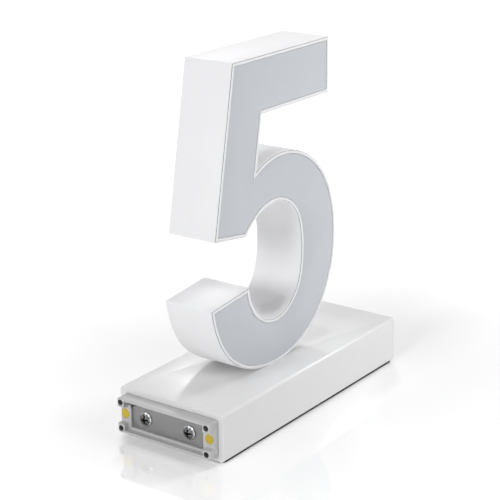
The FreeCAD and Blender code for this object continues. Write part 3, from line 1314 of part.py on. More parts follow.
# Foot of the figure: seal, threaded block, screws from below and grommet
def make_figure_foot():
    length = about(FOOT_CENTRE, "Sizes.block_length")
    depth = about(FIGURE_MIDDLE, "Sizes.block_depth")
    gasket = block(
        "figure_gasket_blank", length, depth,
        ("Sizes.base_top", "(Sizes.base_top + Sizes.figure_gasket_thickness)"),
    )
    gasket_span = ("(Sizes.base_top - Sizes.overrun)", f"({FOOT_TOP} + Sizes.overrun)")
    node(cut(
        "figure_gasket", gasket,
        turned("gasket_lead_hole", "z", (FOOT_CENTRE, FIGURE_MIDDLE), [(*gasket_span, LEAD_HOLE)]),
        turned("gasket_front_hole", "z", (FOOT_CENTRE, SCREW_FRONT), [(*gasket_span, SCREW_HOLE)]),
        turned("gasket_rear_hole", "z", (FOOT_CENTRE, SCREW_REAR), [(*gasket_span, SCREW_HOLE)]),
    ))
    thread = "(Sizes.end_screw_radius + Sizes.fit_gap / 2)"
    block_span = (f"({FOOT_TOP} - Sizes.overrun)", f"({BLOCK_TOP} + Sizes.overrun)")
    metal = block("figure_block_blank", length, depth, (FOOT_TOP, BLOCK_TOP))
    node(cut(
        "figure_block", metal,
        turned("block_lead_hole", "z", (FOOT_CENTRE, FIGURE_MIDDLE), [(*block_span, LEAD_HOLE)]),
        turned("block_front_hole", "z", (FOOT_CENTRE, SCREW_FRONT), [(*block_span, thread)]),
        turned("block_rear_hole", "z", (FOOT_CENTRE, SCREW_REAR), [(*block_span, thread)]),
    ))
    screws = [
        turned(
            f"figure_screw_{side}", "z", (FOOT_CENTRE, place),
            [
                (BORE_ROOF, f"({BORE_ROOF} + Sizes.figure_screw_length)", "Sizes.end_screw_radius"),
                (f"({BORE_ROOF} - Sizes.pan_head_height)", BORE_ROOF, "Sizes.pan_head_radius"),
            ],
        )
        for side, place in (("front", SCREW_FRONT), ("rear", SCREW_REAR))
    ]
    node(group("figure_screws", *screws))
    sleeve = turned(
        "grommet_sleeve", "z", (FOOT_CENTRE, FIGURE_MIDDLE),
        [
            (f"({BORE_ROOF} - Sizes.grommet_flange_height)", BORE_ROOF, "Sizes.grommet_flange_radius"),
            (BORE_ROOF, BLOCK_TOP, "Sizes.lead_hole_radius"),
        ],
    )
    way = turned(
        "grommet_way", "z", (FOOT_CENTRE, FIGURE_MIDDLE),
        [(
            f"({BORE_ROOF} - Sizes.grommet_flange_height - Sizes.overrun)", f"({BLOCK_TOP} + Sizes.overrun)",
            "Sizes.grommet_bore_radius",
        )],
    )
    node(cut("lead_grommet", sleeve, way))


# Light board: a strip inside the figure's stroke, with chips along its middle
BAR_LINE_SHARES = [
    (0.885, 0.911),
    (0.345, 0.911),
    (0.195, 0.640),
]
BOWL_LINE_SHARES = [
    (0.295, 0.560, 32),
    (0.530, 0.608, 0),
    (0.853, 0.351, -90),
    (0.491, 0.077, 180),
    (0.150, 0.250, 100),
]
CONNECTOR_SHARE = (FOOT_SHARE[0], 0.078)


def chip_places():
    """Points along the middle of the stroke, one chip pitch apart."""
    lines = [
        straight([figure_point(*share) for share in BAR_LINE_SHARES]),
        bowl(BOWL_LINE_SHARES),
    ]
    places = []
    for runs in lines:
        line = Part.Wire([edge_of(run, run[0], run[2]) for run in runs])
        count = round(line.Length / size("chip_pitch")) + 1
        places += line.discretize(Number=count)
    return places


def make_light_board():
    foot_rise = size("figure_sink") + size("foot_thickness") + size("block_height")
    board = slab(
        "light_board_blank", inset("light_board_line", foot_rise + size("light_board_gap"), "round"),
        LIGHT_BOARD_FRONT, LIGHT_BOARD_BACK,
    )
    hole = "(Sizes.small_screw_radius + Sizes.screw_gap)"
    holes = [
        turned(
            f"light_board_hole{number}", "y", place,
            [(f"({LIGHT_BOARD_FRONT} - Sizes.overrun)", f"({LIGHT_BOARD_BACK} + Sizes.overrun)", hole)],
        )
        for number, place in enumerate(LIGHT_SCREW_PLACES)
    ]
    node(cut("light_board", board, *holes))
    screws = [
        turned(
            f"light_screw{number}", "y", place,
            [
                (
                    f"({LIGHT_BOARD_FRONT} - Sizes.small_head_height)",
                    LIGHT_BOARD_FRONT, "Sizes.light_pillar_radius",
                ),
                (LIGHT_BOARD_FRONT, f"({BACK_WALL} - Sizes.fit_gap)", "Sizes.small_screw_radius"),
            ],
        )
        for number, place in enumerate(LIGHT_SCREW_PLACES)
    ]
    node(group("light_screws", *screws))

    front = (
        size("figure_set_back") + size("figure_depth") / 2
        - size("back_thickness") - size("light_board_lift") - size("board_thickness")
    )
    taken = [figure_point(*share) for share in [*LIGHT_SCREW_SHARES, CONNECTOR_SHARE]]
    chips = []
    for place in chip_places():
        if min((place - point).Length for point in taken) < size("chip_clearance"):
            continue
        corner = Vector(
            place.x - size("chip_length") / 2,
            front - size("chip_thickness"),
            place.z - size("chip_width") / 2,
        )
        chips.append(Part.makeBox(
            size("chip_length"), size("chip_thickness"), size("chip_width"), corner,
        ))
    piece = doc.addObject("Part::Feature", "light_chips")
    piece.Shape = Part.makeCompound(chips)
    node(piece)
    node(block(
        "light_connector", about(FOOT_CENTRE, "Sizes.connector_width"),
        (f"({LIGHT_BOARD_FRONT} - Sizes.connector_depth)", LIGHT_BOARD_FRONT),
        (
            "(Sizes.base_top + Sizes.connector_rise)",
            "(Sizes.base_top + Sizes.connector_rise + Sizes.connector_height)",
        ),
    ))


# Assembly
make_base_housing()
make_underside()
make_plug_frame()
end_gasket("plug_gasket", PLUG_TAIL)
end_plate("plug_plate", PLATE_FRONT, "Sizes.plate_thickness")
make_plug_screws()
make_contact_pads()
make_socket_frame()
end_gasket("socket_gasket", SOCKET_LEDGE)
end_plate(
    "socket_plate", SOCKET_PLATE_BACK, "Sizes.socket_plate_thickness",
    size("base_length") / 2 - size("socket_depth"),
)
make_socket_screws()
make_guide_pins()
make_tie_rods()
make_sprung_contact("front", "-")
make_sprung_contact("rear", "")
make_driver()
make_leads()
make_figure_body()
make_figure_front()
make_figure_foot()
make_light_board()
doc.recompute()

# Every object has to be sound before anything is written
for thing in doc.Objects:
    if "Invalid" in thing.State or "Error" in thing.State:
        raise RuntimeError(f"{thing.Name} failed: {thing.State}")
for thing in doc.Objects:
    if thing.TypeId in ("PartDesign::Pocket", "PartDesign::Pad"):
        before = thing.BaseFeature.Shape.Volume if thing.BaseFeature else 0
        gained = thing.Shape.Volume - before
        if gained * (1 if thing.TypeId == "PartDesign::Pad" else -1) <= 0:
            raise RuntimeError(f"{thing.Name} changes nothing")
for piece in nodes:
    if piece.Shape.isNull() or not piece.Shape.isValid():
        raise RuntimeError(f"{piece.Label} has no valid shape")
for piece in nodes:
    piece.Shape.exportStep(f"parts/{piece.Label}.step")
    print(f"{piece.Label}: {len(piece.Shape.Solids)} solids, {piece.Shape.Volume:.1f} mm3")
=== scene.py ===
import json
import math

import bmesh
import bpy
from mathutils import Euler, Matrix, Vector


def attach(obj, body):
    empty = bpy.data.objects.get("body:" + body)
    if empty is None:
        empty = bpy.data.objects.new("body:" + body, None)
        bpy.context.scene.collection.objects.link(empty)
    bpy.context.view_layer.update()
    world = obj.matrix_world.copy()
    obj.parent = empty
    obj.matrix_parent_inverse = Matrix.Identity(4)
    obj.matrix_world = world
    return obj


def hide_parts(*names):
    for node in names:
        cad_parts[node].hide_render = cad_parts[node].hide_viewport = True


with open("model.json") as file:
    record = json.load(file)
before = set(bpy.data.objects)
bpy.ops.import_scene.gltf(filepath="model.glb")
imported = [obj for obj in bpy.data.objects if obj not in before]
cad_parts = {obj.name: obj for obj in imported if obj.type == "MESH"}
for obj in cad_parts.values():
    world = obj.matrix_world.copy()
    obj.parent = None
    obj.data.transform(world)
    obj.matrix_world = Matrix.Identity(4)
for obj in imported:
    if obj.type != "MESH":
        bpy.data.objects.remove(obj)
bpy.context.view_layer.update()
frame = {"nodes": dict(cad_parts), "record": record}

# The looks of an illuminated house number: an opal figure 5 with a grey front on a
# white plug-in bar. Lengths are in metres where nothing else is said, +Z is up and the
# figure faces -Y.

scene = bpy.context.scene
MM = 0.001

# Camera of the photograph
CAMERA_PLACE = Vector((-650.9, -467.9, 354.0)) * MM
CAMERA_AZIMUTH = -53.75
CAMERA_ELEVATION = 18.45
CAMERA_ROLL = -0.65
LENS = 110.74
SENSOR = 36.0

# Merging of loose corners, and rounding of the edges
MERGE_DISTANCE = 0.002 * MM
FLAT_ANGLE = 0.5
EDGE_ANGLE = 28.0
EDGE_SEGMENTS = 2

# How finely the turned and swept pieces are made
TURNED_STEPS = 26
HEAD_SIDES = 56
SHANK_SIDES = 24
PIN_SIDES = 40
BEAD_SIDES = 8
CORNER_STEPS = 8
SMALLEST_SQUARE = 1e-10  # keeps the very tip of a dome from closing to a point
RECESS_TAPER = 0.45  # width of a cross recess at its bottom, as a share of its mouth

# Sizes of the bar and its two ends, in millimetres
BAR_LENGTH = 168
BAR_DEPTH = 68.5
END_MIDDLE = 14.1  # height of the centre line of the plug and the socket
END_SCREW_ASIDE = 14.5  # from the middle of the bar to each end screw
PLUG_HEAD_TOP = -89.4  # place along X that the plug's screw heads reach
PLUG_HEAD_CROWN = 6.083  # radius of the heads' domes
SOCKET_HEAD_TOP = 76.5
PIN_TIP = 83.0
PIN_ASIDE = 28.45  # guide pins and bored bosses, from the middle of the end
PIN_ABOVE = 7.4
BORE_SHADE_RADIUS = 1.64  # reach of the painted shade in the bores, a hair more than the bosses' bores
# Painted shade in the plug screws' cross recesses: depth below the dome where it is full, and reach
# from each axis
RECESS_SHADE_DEPTH = 0.8
RECESS_SHADE_REACH = 3.2
LIP_INSET = 1.6  # the mat's lip is this much shorter and narrower than the bar
LIP_WIDTH = 3.2

# Part of a noise's range over which a colour or a gloss drifts
DRIFT_START = 0.3
DRIFT_END = 0.7


# Material trees
class Finish:
    """A material whose nodes are added and joined by short calls."""

    def __init__(self, name):
        self.material = bpy.data.materials.new(name)
        self.material.use_nodes = True
        self.tree = self.material.node_tree
        self.tree.nodes.clear()
        self.output = self.add("ShaderNodeOutputMaterial")
        self.shader = self.add("ShaderNodeBsdfPrincipled")
        self.join(self.shader.outputs["BSDF"], self.output.inputs["Surface"])
        self.place = self.add("ShaderNodeTexCoord").outputs["Object"]

    def add(self, kind, **settings):
        node = self.tree.nodes.new(kind)
        for name, value in settings.items():
            setattr(node, name, value)
        return node

    def join(self, start, end):
        self.tree.links.new(start, end)

    def set(self, **values):
        """Fixed values on the shader's own sockets; an underscore stands for a space."""
        for name, value in values.items():
            self.shader.inputs[name.replace("_", " ")].default_value = value
        return self

    def stretched(self, scale):
        """Object coordinates, scaled differently along X, Y and Z."""
        mapping = self.add("ShaderNodeMapping")
        mapping.inputs["Scale"].default_value = scale
        self.join(self.place, mapping.inputs["Vector"])
        return mapping.outputs["Vector"]

    def noise(self, grain, detail=3.0, roughness=0.55, stretch=None):
        """Noise with grains of about a given size."""
        node = self.add("ShaderNodeTexNoise")
        node.inputs["Scale"].default_value = 1 / grain
        node.inputs["Detail"].default_value = detail
        node.inputs["Roughness"].default_value = roughness
        self.join(self.stretched(stretch) if stretch else self.place, node.inputs["Vector"])
        return node.outputs["Fac"]

    def work_out(self, operation, *terms):
        """A sum; each term is a number or another node's output."""
        node = self.add("ShaderNodeMath", operation=operation)
        for socket, term in zip(node.inputs, terms):
            if isinstance(term, bpy.types.NodeSocket):
                self.join(term, socket)
            else:
                socket.default_value = term
        return node.outputs[0]

    def spread(self, value, start, end, low, high, **settings):
        """A value's stretch from start to end, spread over low to high."""
        node = self.add("ShaderNodeMapRange", **settings)
        numbers = {"From Min": start, "From Max": end, "To Min": low, "To Max": high}
        for socket, number in numbers.items():
            node.inputs[socket].default_value = number
        self.join(value, node.inputs["Value"])
        return node.outputs["Result"]

    def from_axis(self, aside, above, middle):
        """The distance from the nearest of the axes that run along X, a given way aside and
        above or below a middle height; and the point's own place along X."""
        split = self.add("ShaderNodeSeparateXYZ")
        self.join(self.place, split.inputs[0])
        width = self.work_out("ABSOLUTE", split.outputs["Y"])
        height = self.work_out("ABSOLUTE", self.work_out("SUBTRACT", split.outputs["Z"], middle))
        square = self.work_out(
            "ADD",
            self.work_out("POWER", self.work_out("SUBTRACT", width, aside), 2.0),
            self.work_out("POWER", self.work_out("SUBTRACT", height, above), 2.0),
        )
        return self.work_out("SQRT", square), split.outputs["X"]

    def darker(self, mask, colour):
        """Blend the base colour towards a darker one where the mask is 1."""
        mix = self.add("ShaderNodeMix", data_type="RGBA")
        target = self.shader.inputs["Base Color"]
        self.join(target.links[0].from_socket, mix.inputs["A"])
        mix.inputs["B"].default_value = (*colour, 1.0)
        self.join(mask, mix.inputs["Factor"])
        self.join(mix.outputs["Result"], target)
        return self

    def ramp(self, value, stops):
        """A colour ramp through (place, colour) stops."""
        node = self.add("ShaderNodeValToRGB")
        elements = node.color_ramp.elements
        while len(elements) < len(stops):
            elements.new(0.5)
        for element, (position, colour) in zip(elements, stops):
            element.position = position
            element.color = (*colour, 1.0)
        self.join(value, node.inputs["Fac"])
        return node.outputs["Color"]

    def colour(self, value, low, high):
        """Base colour that drifts between two colours with a value."""
        colours = self.ramp(value, [(DRIFT_START, low), (DRIFT_END, high)])
        self.join(colours, self.shader.inputs["Base Color"])

    def gloss(self, value, low, high):
        """Roughness that drifts between two numbers with a value."""
        roughness = self.spread(value, DRIFT_START, DRIFT_END, low, high)
        self.join(roughness, self.shader.inputs["Roughness"])

    def bump(self, value, strength, depth):
        node = self.add("ShaderNodeBump")
        node.inputs["Strength"].default_value = strength
        node.inputs["Distance"].default_value = depth
        self.join(value, node.inputs["Height"])
        self.join(node.outputs["Normal"], self.shader.inputs["Normal"])


def seen_or_mirrored(tree):
    """1 for what the camera, mirrors and glass see, and 0 for what lights the scene."""
    rays = tree.nodes.new("ShaderNodeLightPath")
    seen = rays.outputs["Is Camera Ray"]
    for kind in ("Is Glossy Ray", "Is Transmission Ray"):
        either = tree.nodes.new("ShaderNodeMath")
        either.operation = "MAXIMUM"
        tree.links.new(seen, either.inputs[0])
        tree.links.new(rays.outputs[kind], either.inputs[1])
        seen = either.outputs[0]
    return seen


def shade(colour, factor):
    return tuple(channel * factor for channel in colour)


def moulded(name, colour, roughness, grain=0.35 * MM, drift=0.02, depth=0.006 * MM, **values):
    """Moulded plastic: an eroded grain, a faint speckle and a slightly uneven gloss."""
    finish = Finish(name)
    speckle = finish.noise(0.9 * MM, detail=4.0, roughness=0.8)
    finish.colour(speckle, shade(colour, 1 - drift), shade(colour, 1 + drift))
    finish.gloss(finish.noise(3 * MM), roughness - 0.04, roughness + 0.04)
    finish.bump(finish.noise(grain, detail=4.0), 0.35, depth)
    return finish.set(**values)


def plastic(name, colour, roughness, **values):
    return moulded(name, colour, roughness, **values).material


def collar(name, colour, roughness):
    """Moulded plastic, with painted shade in the four bores of the plug's bosses."""
    finish = moulded(name, colour, roughness)
    distance, _ = finish.from_axis(PIN_ASIDE * MM, PIN_ABOVE * MM, END_MIDDLE * MM)
    # Painted shade inside the bosses' bores
    bore_shade = finish.work_out("LESS_THAN", distance, BORE_SHADE_RADIUS * MM)
    return finish.darker(bore_shade, (0.13, 0.13, 0.133)).material


def metal_finish(
    name, colour, roughness, stretch=(1.0, 1.0, 1.0), grain=0.6 * MM, depth=0.004 * MM,
):
    """Bare metal with fine marks, drawn out along one direction where stretch says so."""
    finish = Finish(name)
    marks = finish.noise(grain, detail=5.0, stretch=stretch)
    finish.colour(marks, shade(colour, 0.93), shade(colour, 1.05))
    finish.gloss(marks, roughness - 0.05, roughness + 0.07)
    finish.bump(marks, 0.4, depth)
    return finish.set(Metallic=1.0)


def metal(name, colour, roughness, **values):
    return metal_finish(name, colour, roughness, **values).material


def recessed_heads(name, colour, roughness):
    """Plated screws with painted shade in the cross recess, below the dome of each head."""
    finish = metal_finish(name, colour, roughness)
    distance, along = finish.from_axis(END_SCREW_ASIDE * MM, 0.0, END_MIDDLE * MM)
    square = finish.work_out("POWER", distance, 2.0)
    chord = finish.work_out("SUBTRACT", (PLUG_HEAD_CROWN * MM) ** 2, square)
    centre = (PLUG_HEAD_CROWN + PLUG_HEAD_TOP) * MM
    dome = finish.work_out("SUBTRACT", centre, finish.work_out("SQRT", chord))
    below = finish.work_out("SUBTRACT", along, dome)
    # Painted shade: darker the deeper a point lies below the dome, near each screw's axis
    recess_shade = finish.work_out("MULTIPLY", below, 1 / (RECESS_SHADE_DEPTH * MM))
    recess_shade = finish.work_out("MINIMUM", finish.work_out("MAXIMUM", recess_shade, 0.0), 1.0)
    near = finish.work_out("LESS_THAN", distance, RECESS_SHADE_REACH * MM)
    recess_shade = finish.work_out("MULTIPLY", recess_shade, near)
    return finish.darker(recess_shade, shade(colour, 0.06)).material


def circuit_board(name, mask, track):
    """A board's lacquer over slightly raised tracks in a square weave."""
    finish = Finish(name)
    bricks = finish.add("ShaderNodeTexBrick", offset=0.37, squash=1.6)
    bricks.inputs["Scale"].default_value = 1 / (9 * MM)
    bricks.inputs["Mortar Size"].default_value = 0.05
    bricks.inputs["Color1"].default_value = (*mask, 1.0)
    bricks.inputs["Color2"].default_value = (*shade(mask, 0.88), 1.0)
    bricks.inputs["Mortar"].default_value = (*track, 1.0)
    finish.join(finish.place, bricks.inputs["Vector"])
    finish.join(bricks.outputs["Color"], finish.shader.inputs["Base Color"])
    finish.gloss(finish.noise(5 * MM), 0.24, 0.34)
    finish.bump(bricks.outputs["Fac"], 0.5, 0.02 * MM)
    return finish.material


def banded(name, ground, band, width):
    """A printed sleeve: narrow bands along X over a plain ground."""
    finish = Finish(name)
    wave = finish.add("ShaderNodeTexWave", wave_type="BANDS", bands_direction="X")
    wave.inputs["Scale"].default_value = 0.3 / width
    finish.join(finish.place, wave.inputs["Vector"])
    colours = finish.ramp(wave.outputs["Fac"], [(0.86, ground), (0.9, band)])
    finish.join(colours, finish.shader.inputs["Base Color"])
    finish.gloss(finish.noise(2 * MM), 0.22, 0.32)
    return finish.material


def opal(name, colour):
    """Opal acrylic: light passes a little way in, below a faint cloudiness and a satin skin."""
    finish = Finish(name)
    finish.colour(finish.noise(22 * MM, detail=2.0), shade(colour, 0.985), colour)
    finish.gloss(finish.noise(4 * MM), 0.48, 0.54)
    finish.bump(finish.noise(0.3 * MM, detail=4.0), 0.2, 0.003 * MM)
    finish.set(
        Subsurface_Weight=0.1,
        Subsurface_Scale=0.8 * MM,
        Subsurface_Radius=(1.0, 0.98, 0.94),
    )
    return finish.material


MATERIALS = {
    "housing": plastic(
        "white_moulding", (0.775, 0.775, 0.777), 0.36, drift=0.03,
        Coat_Weight=0.12, Coat_Roughness=0.18,
    ),
    "collar": collar("grey_white_moulding", (0.52, 0.52, 0.522), 0.45),
    "opal": opal("opal_acrylic", (0.865, 0.866, 0.878)),
    "face": plastic("grey_sheet", (0.567, 0.59, 0.626), 0.6, grain=0.2 * MM, drift=0.006),
    "rubber": plastic(
        "black_rubber", (0.028, 0.028, 0.03), 0.7, grain=0.5 * MM, depth=0.02 * MM,
    ),
    "silicone": plastic("grey_silicone", (0.22, 0.22, 0.23), 0.6),
    "plate": metal(
        "satin_plate", (0.215, 0.215, 0.217), 0.42, stretch=(1.0, 0.12, 1.0), grain=0.4 * MM,
    ),
    "cross_heads": recessed_heads("plated_heads", (0.36, 0.365, 0.37), 0.22),
    "steel": metal("bright_zinc", (0.40, 0.405, 0.41), 0.16),
    "gold": metal("gold_flash", (0.46, 0.34, 0.046), 0.4, grain=0.3 * MM),
    "aluminium": metal("drawn_aluminium", (0.70, 0.71, 0.72), 0.3, stretch=(0.1, 1.0, 1.0)),
    "board": circuit_board("green_board", (0.012, 0.09, 0.035), (0.03, 0.17, 0.07)),
    "light_board": circuit_board("white_board", (0.80, 0.80, 0.78), (0.70, 0.70, 0.68)),
    "ferrite": plastic(
        "dark_ferrite", (0.05, 0.05, 0.053), 0.55, grain=0.4 * MM, depth=0.02 * MM,
    ),
    "sleeve": banded("capacitor_sleeve", (0.01, 0.014, 0.07), (0.55, 0.55, 0.58), 6 * MM),
    "terminal": plastic("green_terminal", (0.03, 0.16, 0.05), 0.4),
    "lead_red": plastic("red_insulation", (0.34, 0.012, 0.01), 0.38),
    "lead_black": plastic("black_insulation", (0.012, 0.012, 0.012), 0.4),
    "chip": plastic("phosphor", (0.82, 0.66, 0.12), 0.3),
}
SLOT_OF = {part["node"]: part["material_slot"] for part in frame["record"]["subparts"]}


# Finished CAD shapes
def settle(piece):
    """Apply a piece's modifiers, so that its object holds a plain mesh."""
    evaluated = piece.evaluated_get(bpy.context.evaluated_depsgraph_get())
    mesh = bpy.data.meshes.new_from_object(evaluated)
    piece.modifiers.clear()
    piece.data = mesh


def place_mesh(name, mesh):
    piece = bpy.data.objects.new(name, mesh)
    scene.collection.objects.link(piece)
    return piece


def softened(node, width):
    """The node's own shape with its edges rounded over by a width."""
    shape = bmesh.new()
    shape.from_mesh(frame["nodes"][node].data)
    bmesh.ops.remove_doubles(shape, verts=shape.verts, dist=MERGE_DISTANCE)
    bmesh.ops.dissolve_limit(
        shape, angle_limit=math.radians(FLAT_ANGLE), verts=shape.verts, edges=shape.edges,
    )
    for face in shape.faces:
        face.smooth = True
    mesh = bpy.data.meshes.new(f"{node}_finished")
    shape.to_mesh(mesh)
    shape.free()
    piece = place_mesh(f"{node}_finished", mesh)
    bevel = piece.modifiers.new("edges", "BEVEL")
    bevel.width = width
    bevel.segments = EDGE_SEGMENTS
    bevel.limit_method = "ANGLE"
    bevel.angle_limit = math.radians(EDGE_ANGLE)
    bevel.harden_normals = True
    settle(piece)
    return piece


def dress(piece, look):
    piece.data.materials.clear()
    piece.data.materials.append(MATERIALS[look])


def stand_for(piece, node, body="lamp", look=None):
    """Dress a piece in the node's material or another look; it rides and stands for the node."""
    slot = SLOT_OF[node]
    dress(piece, look or slot)
    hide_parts(node)
    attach(piece, body)


def add_to(piece, body, slot):
    """Dress a piece that no node stands for; it rides on a body."""
    dress(piece, slot)
    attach(piece, body)


# Geometry Nodes trees
class Recipe:
    """A Geometry Nodes tree with named inputs, whose nodes are added and joined by short calls."""

    def __init__(self, name, **inputs):
        self.tree = bpy.data.node_groups.new(name, "GeometryNodeTree")
        self.open_socket("Places", "INPUT", "Geometry")
        self.keys = {
            label: self.open_socket(label, "INPUT", kind) for label, kind in inputs.items()
        }
        self.open_socket("Pieces", "OUTPUT", "Geometry")
        self.given = self.tree.nodes.new("NodeGroupInput")
        self.result = self.tree.nodes.new("NodeGroupOutput")

    def open_socket(self, label, way, kind):
        """A socket of the tree; a modifier finds it by the identifier that comes back."""
        return self.tree.interface.new_socket(
            label.replace("_", " "), in_out=way, socket_type=f"NodeSocket{kind}",
        ).identifier

    def __getitem__(self, label):
        return self.given.outputs[label.replace("_", " ")]

    def add(self, kind, inputs, output=0, **settings):
        """A node with the given settings and inputs, each a value or another node's socket."""
        node = self.tree.nodes.new(kind)
        for name, value in settings.items():
            setattr(node, name, value)
        for key, value in inputs.items():
            if isinstance(value, bpy.types.NodeSocket):
                self.tree.links.new(value, node.inputs[key])
            else:
                node.inputs[key].default_value = value
        return node.outputs[output]

    def work_out(self, operation, *terms):
        return self.add("ShaderNodeMath", dict(enumerate(terms)), operation=operation)

    def vector(self, x=0.0, y=0.0, z=0.0):
        return self.add("ShaderNodeCombineXYZ", {"X": x, "Y": y, "Z": z})

    def turned(self, length, radius, crown, taper, sides):
        """A turned form along +X from the origin: a domed end, then a straight or tapering side."""
        line = self.add("GeometryNodeCurvePrimitiveLine", {"End": self.vector(x=length)})
        line = self.add("GeometryNodeResampleCurve", {"Curve": line, "Count": TURNED_STEPS})
        share = self.add("GeometryNodeSplineParameter", {})
        reach = self.work_out("MULTIPLY", length, self.work_out("MULTIPLY", share, share))
        line = self.add("GeometryNodeSetPosition", {
            "Geometry": line, "Position": self.vector(x=reach),
        })
        double = self.work_out("SUBTRACT", self.work_out("MULTIPLY", crown, 2.0), reach)
        square = self.work_out("MULTIPLY", double, reach)
        dome = self.work_out("SQRT", self.work_out("MAXIMUM", square, SMALLEST_SQUARE))
        side = self.work_out("SUBTRACT", radius, self.work_out("MULTIPLY", taper, reach))
        around = self.add("GeometryNodeCurvePrimitiveCircle", {"Resolution": sides, "Radius": 1.0})
        return self.add("GeometryNodeCurveToMesh", {
            "Curve": line,
            "Profile Curve": around,
            "Scale": self.work_out("MINIMUM", dome, side),
            "Fill Caps": True,
        })

    def copies(self, piece):
        """A copy of the piece at each place, turned as asked."""
        return self.dressed(self.add("GeometryNodeInstanceOnPoints", {
            "Points": self["Places"], "Instance": piece, "Rotation": self["Turn"],
        }))

    def dressed(self, pieces):
        """The result, as real mesh with its material."""
        real = self.add("GeometryNodeRealizeInstances", {"Geometry": pieces})
        smooth = self.add("GeometryNodeSetShadeSmooth", {"Geometry": real})
        result = self.add("GeometryNodeSetMaterial", {
            "Geometry": smooth, "Material": self["Material"],
        })
        self.tree.links.new(result, self.result.inputs[0])
        return self

    def make(self, name, places, closed=False, **values):
        """The tree's pieces as a plain mesh, at places in millimetres or along them as a loop."""
        mesh = bpy.data.meshes.new(name)
        count = len(places)
        edges = [(n, (n + 1) % count) for n in range(count)] if closed else []
        mesh.from_pydata([Vector(place) * MM for place in places], edges, [])
        piece = place_mesh(name, mesh)
        modifier = piece.modifiers.new(name, "NODES")
        modifier.node_group = self.tree
        for label, value in values.items():
            modifier[self.keys[label]] = value
        settle(piece)
        piece.data.set_sharp_from_angle(angle=math.radians(EDGE_ANGLE))
        return piece


def screw_recipe():
    """Screws with a cross recess; a domed head or, where it tapers, a countersunk one."""
    recipe = Recipe(
        "cross_head_screws",
        Head_Radius="Float", Head_Height="Float", Crown_Radius="Float", Taper="Float",
        Shank_Radius="Float", Shank_Length="Float",
        Recess_Reach="Float", Recess_Width="Float", Recess_Depth="Float",
        Turn="Rotation", Material="Material",
    )
    head = recipe.turned(
        recipe["Head_Height"], recipe["Head_Radius"], recipe["Crown_Radius"], recipe["Taper"],
        sides=HEAD_SIDES,
    )
    # One slot is a four-sided cone with a flat end, turned square to X and pressed slim
    mouth = recipe.work_out("MULTIPLY", recipe["Recess_Reach"], math.sqrt(0.5))
    slot = recipe.add("GeometryNodeMeshCone", {
        "Vertices": 4,
        "Radius Bottom": mouth,
        "Radius Top": recipe.work_out("MULTIPLY", mouth, RECESS_TAPER),
        "Depth": recipe["Recess_Depth"],
    })
    slot = recipe.add("GeometryNodeTransform", {"Geometry": slot, "Rotation": (0, 0, math.pi / 4)})
    slimness = recipe.work_out("DIVIDE", recipe["Recess_Width"], recipe["Recess_Reach"])
    slot = recipe.add("GeometryNodeTransform", {
        "Geometry": slot,
        "Scale": recipe.vector(1.0, slimness, 1.0),
        "Rotation": (0, math.pi / 2, 0),
    })
    crossed = recipe.add("GeometryNodeTransform", {
        "Geometry": slot, "Rotation": (math.pi / 2, 0, 0),
    })
    cross = recipe.add(
        "GeometryNodeMeshBoolean", {"Mesh 2": slot}, operation="UNION", solver="EXACT",
    )
    recipe.tree.links.new(crossed, cross.node.inputs["Mesh 2"])
    recessed = recipe.add(
        "GeometryNodeMeshBoolean", {"Mesh 1": head, "Mesh 2": cross},
        operation="DIFFERENCE", solver="EXACT",
    )
    shank = recipe.add("GeometryNodeMeshCylinder", {
        "Vertices": SHANK_SIDES, "Radius": recipe["Shank_Radius"], "Depth": recipe["Shank_Length"],
    })
    half_shank = recipe.work_out("MULTIPLY", recipe["Shank_Length"], 0.5)
    middle = recipe.work_out("ADD", recipe["Head_Height"], half_shank)
    shank = recipe.add("GeometryNodeTransform", {
        "Geometry": shank, "Rotation": (0, math.pi / 2, 0), "Translation": recipe.vector(x=middle),
    })
    screw = recipe.add("GeometryNodeJoinGeometry", {"Geometry": recessed})
    recipe.tree.links.new(shank, screw.node.inputs["Geometry"])
    return recipe.copies(screw)


def pin_recipe():
    """Plain pins with a rounded nose."""
    recipe = Recipe(
        "nosed_pins", Radius="Float", Length="Float", Nose_Radius="Float",
        Turn="Rotation", Material="Material",
    )
    pin = recipe.turned(
        recipe["Length"], recipe["Radius"], recipe["Nose_Radius"], taper=0.0, sides=PIN_SIDES,
    )
    return recipe.copies(pin)


def bead_recipe():
    """A round bead that follows the edges it is given, lifted a little along Y."""
    recipe = Recipe("beads_along_edges", Bead_Radius="Float", Lift="Float", Material="Material")
    path = recipe.add("GeometryNodeMeshToCurve", {"Mesh": recipe["Places"]})
    path = recipe.add("GeometryNodeSetPosition", {
        "Geometry": path, "Offset": recipe.vector(y=recipe["Lift"]),
    })
    around = recipe.add("GeometryNodeCurvePrimitiveCircle", {
        "Resolution": BEAD_SIDES, "Radius": recipe["Bead_Radius"],
    })
    bead = recipe.add("GeometryNodeCurveToMesh", {"Curve": path, "Profile Curve": around})
    return recipe.dressed(bead)


def skirt_recipe():
    """A thin flat lip that runs round a rectangle with rounded corners."""
    recipe = Recipe(
        "skirts", Length="Float", Depth="Float", Corner_Radius="Float",
        Lip_Width="Float", Lip_Height="Float", Material="Material",
    )
    path = recipe.add("GeometryNodeCurvePrimitiveQuadrilateral", {
        "Width": recipe["Length"], "Height": recipe["Depth"],
    })
    path = recipe.add("GeometryNodeFilletCurve", {
        "Curve": path, "Radius": recipe["Corner_Radius"], "Count": CORNER_STEPS,
    }, mode="POLY")
    section = recipe.add("GeometryNodeCurvePrimitiveQuadrilateral", {
        "Width": recipe["Lip_Width"], "Height": recipe["Lip_Height"],
    })
    lip = recipe.add("GeometryNodeCurveToMesh", {"Curve": path, "Profile Curve": section})
    rise = recipe.work_out("MULTIPLY", recipe["Lip_Height"], 0.55)
    lip = recipe.add("GeometryNodeSetPosition", {
        "Geometry": lip, "Offset": recipe.vector(z=rise),
    })
    return recipe.dressed(lip)


# Every node in its material, and the larger pieces with rounded edges
for node, thing in frame["nodes"].items():
    dress(thing, SLOT_OF[node])

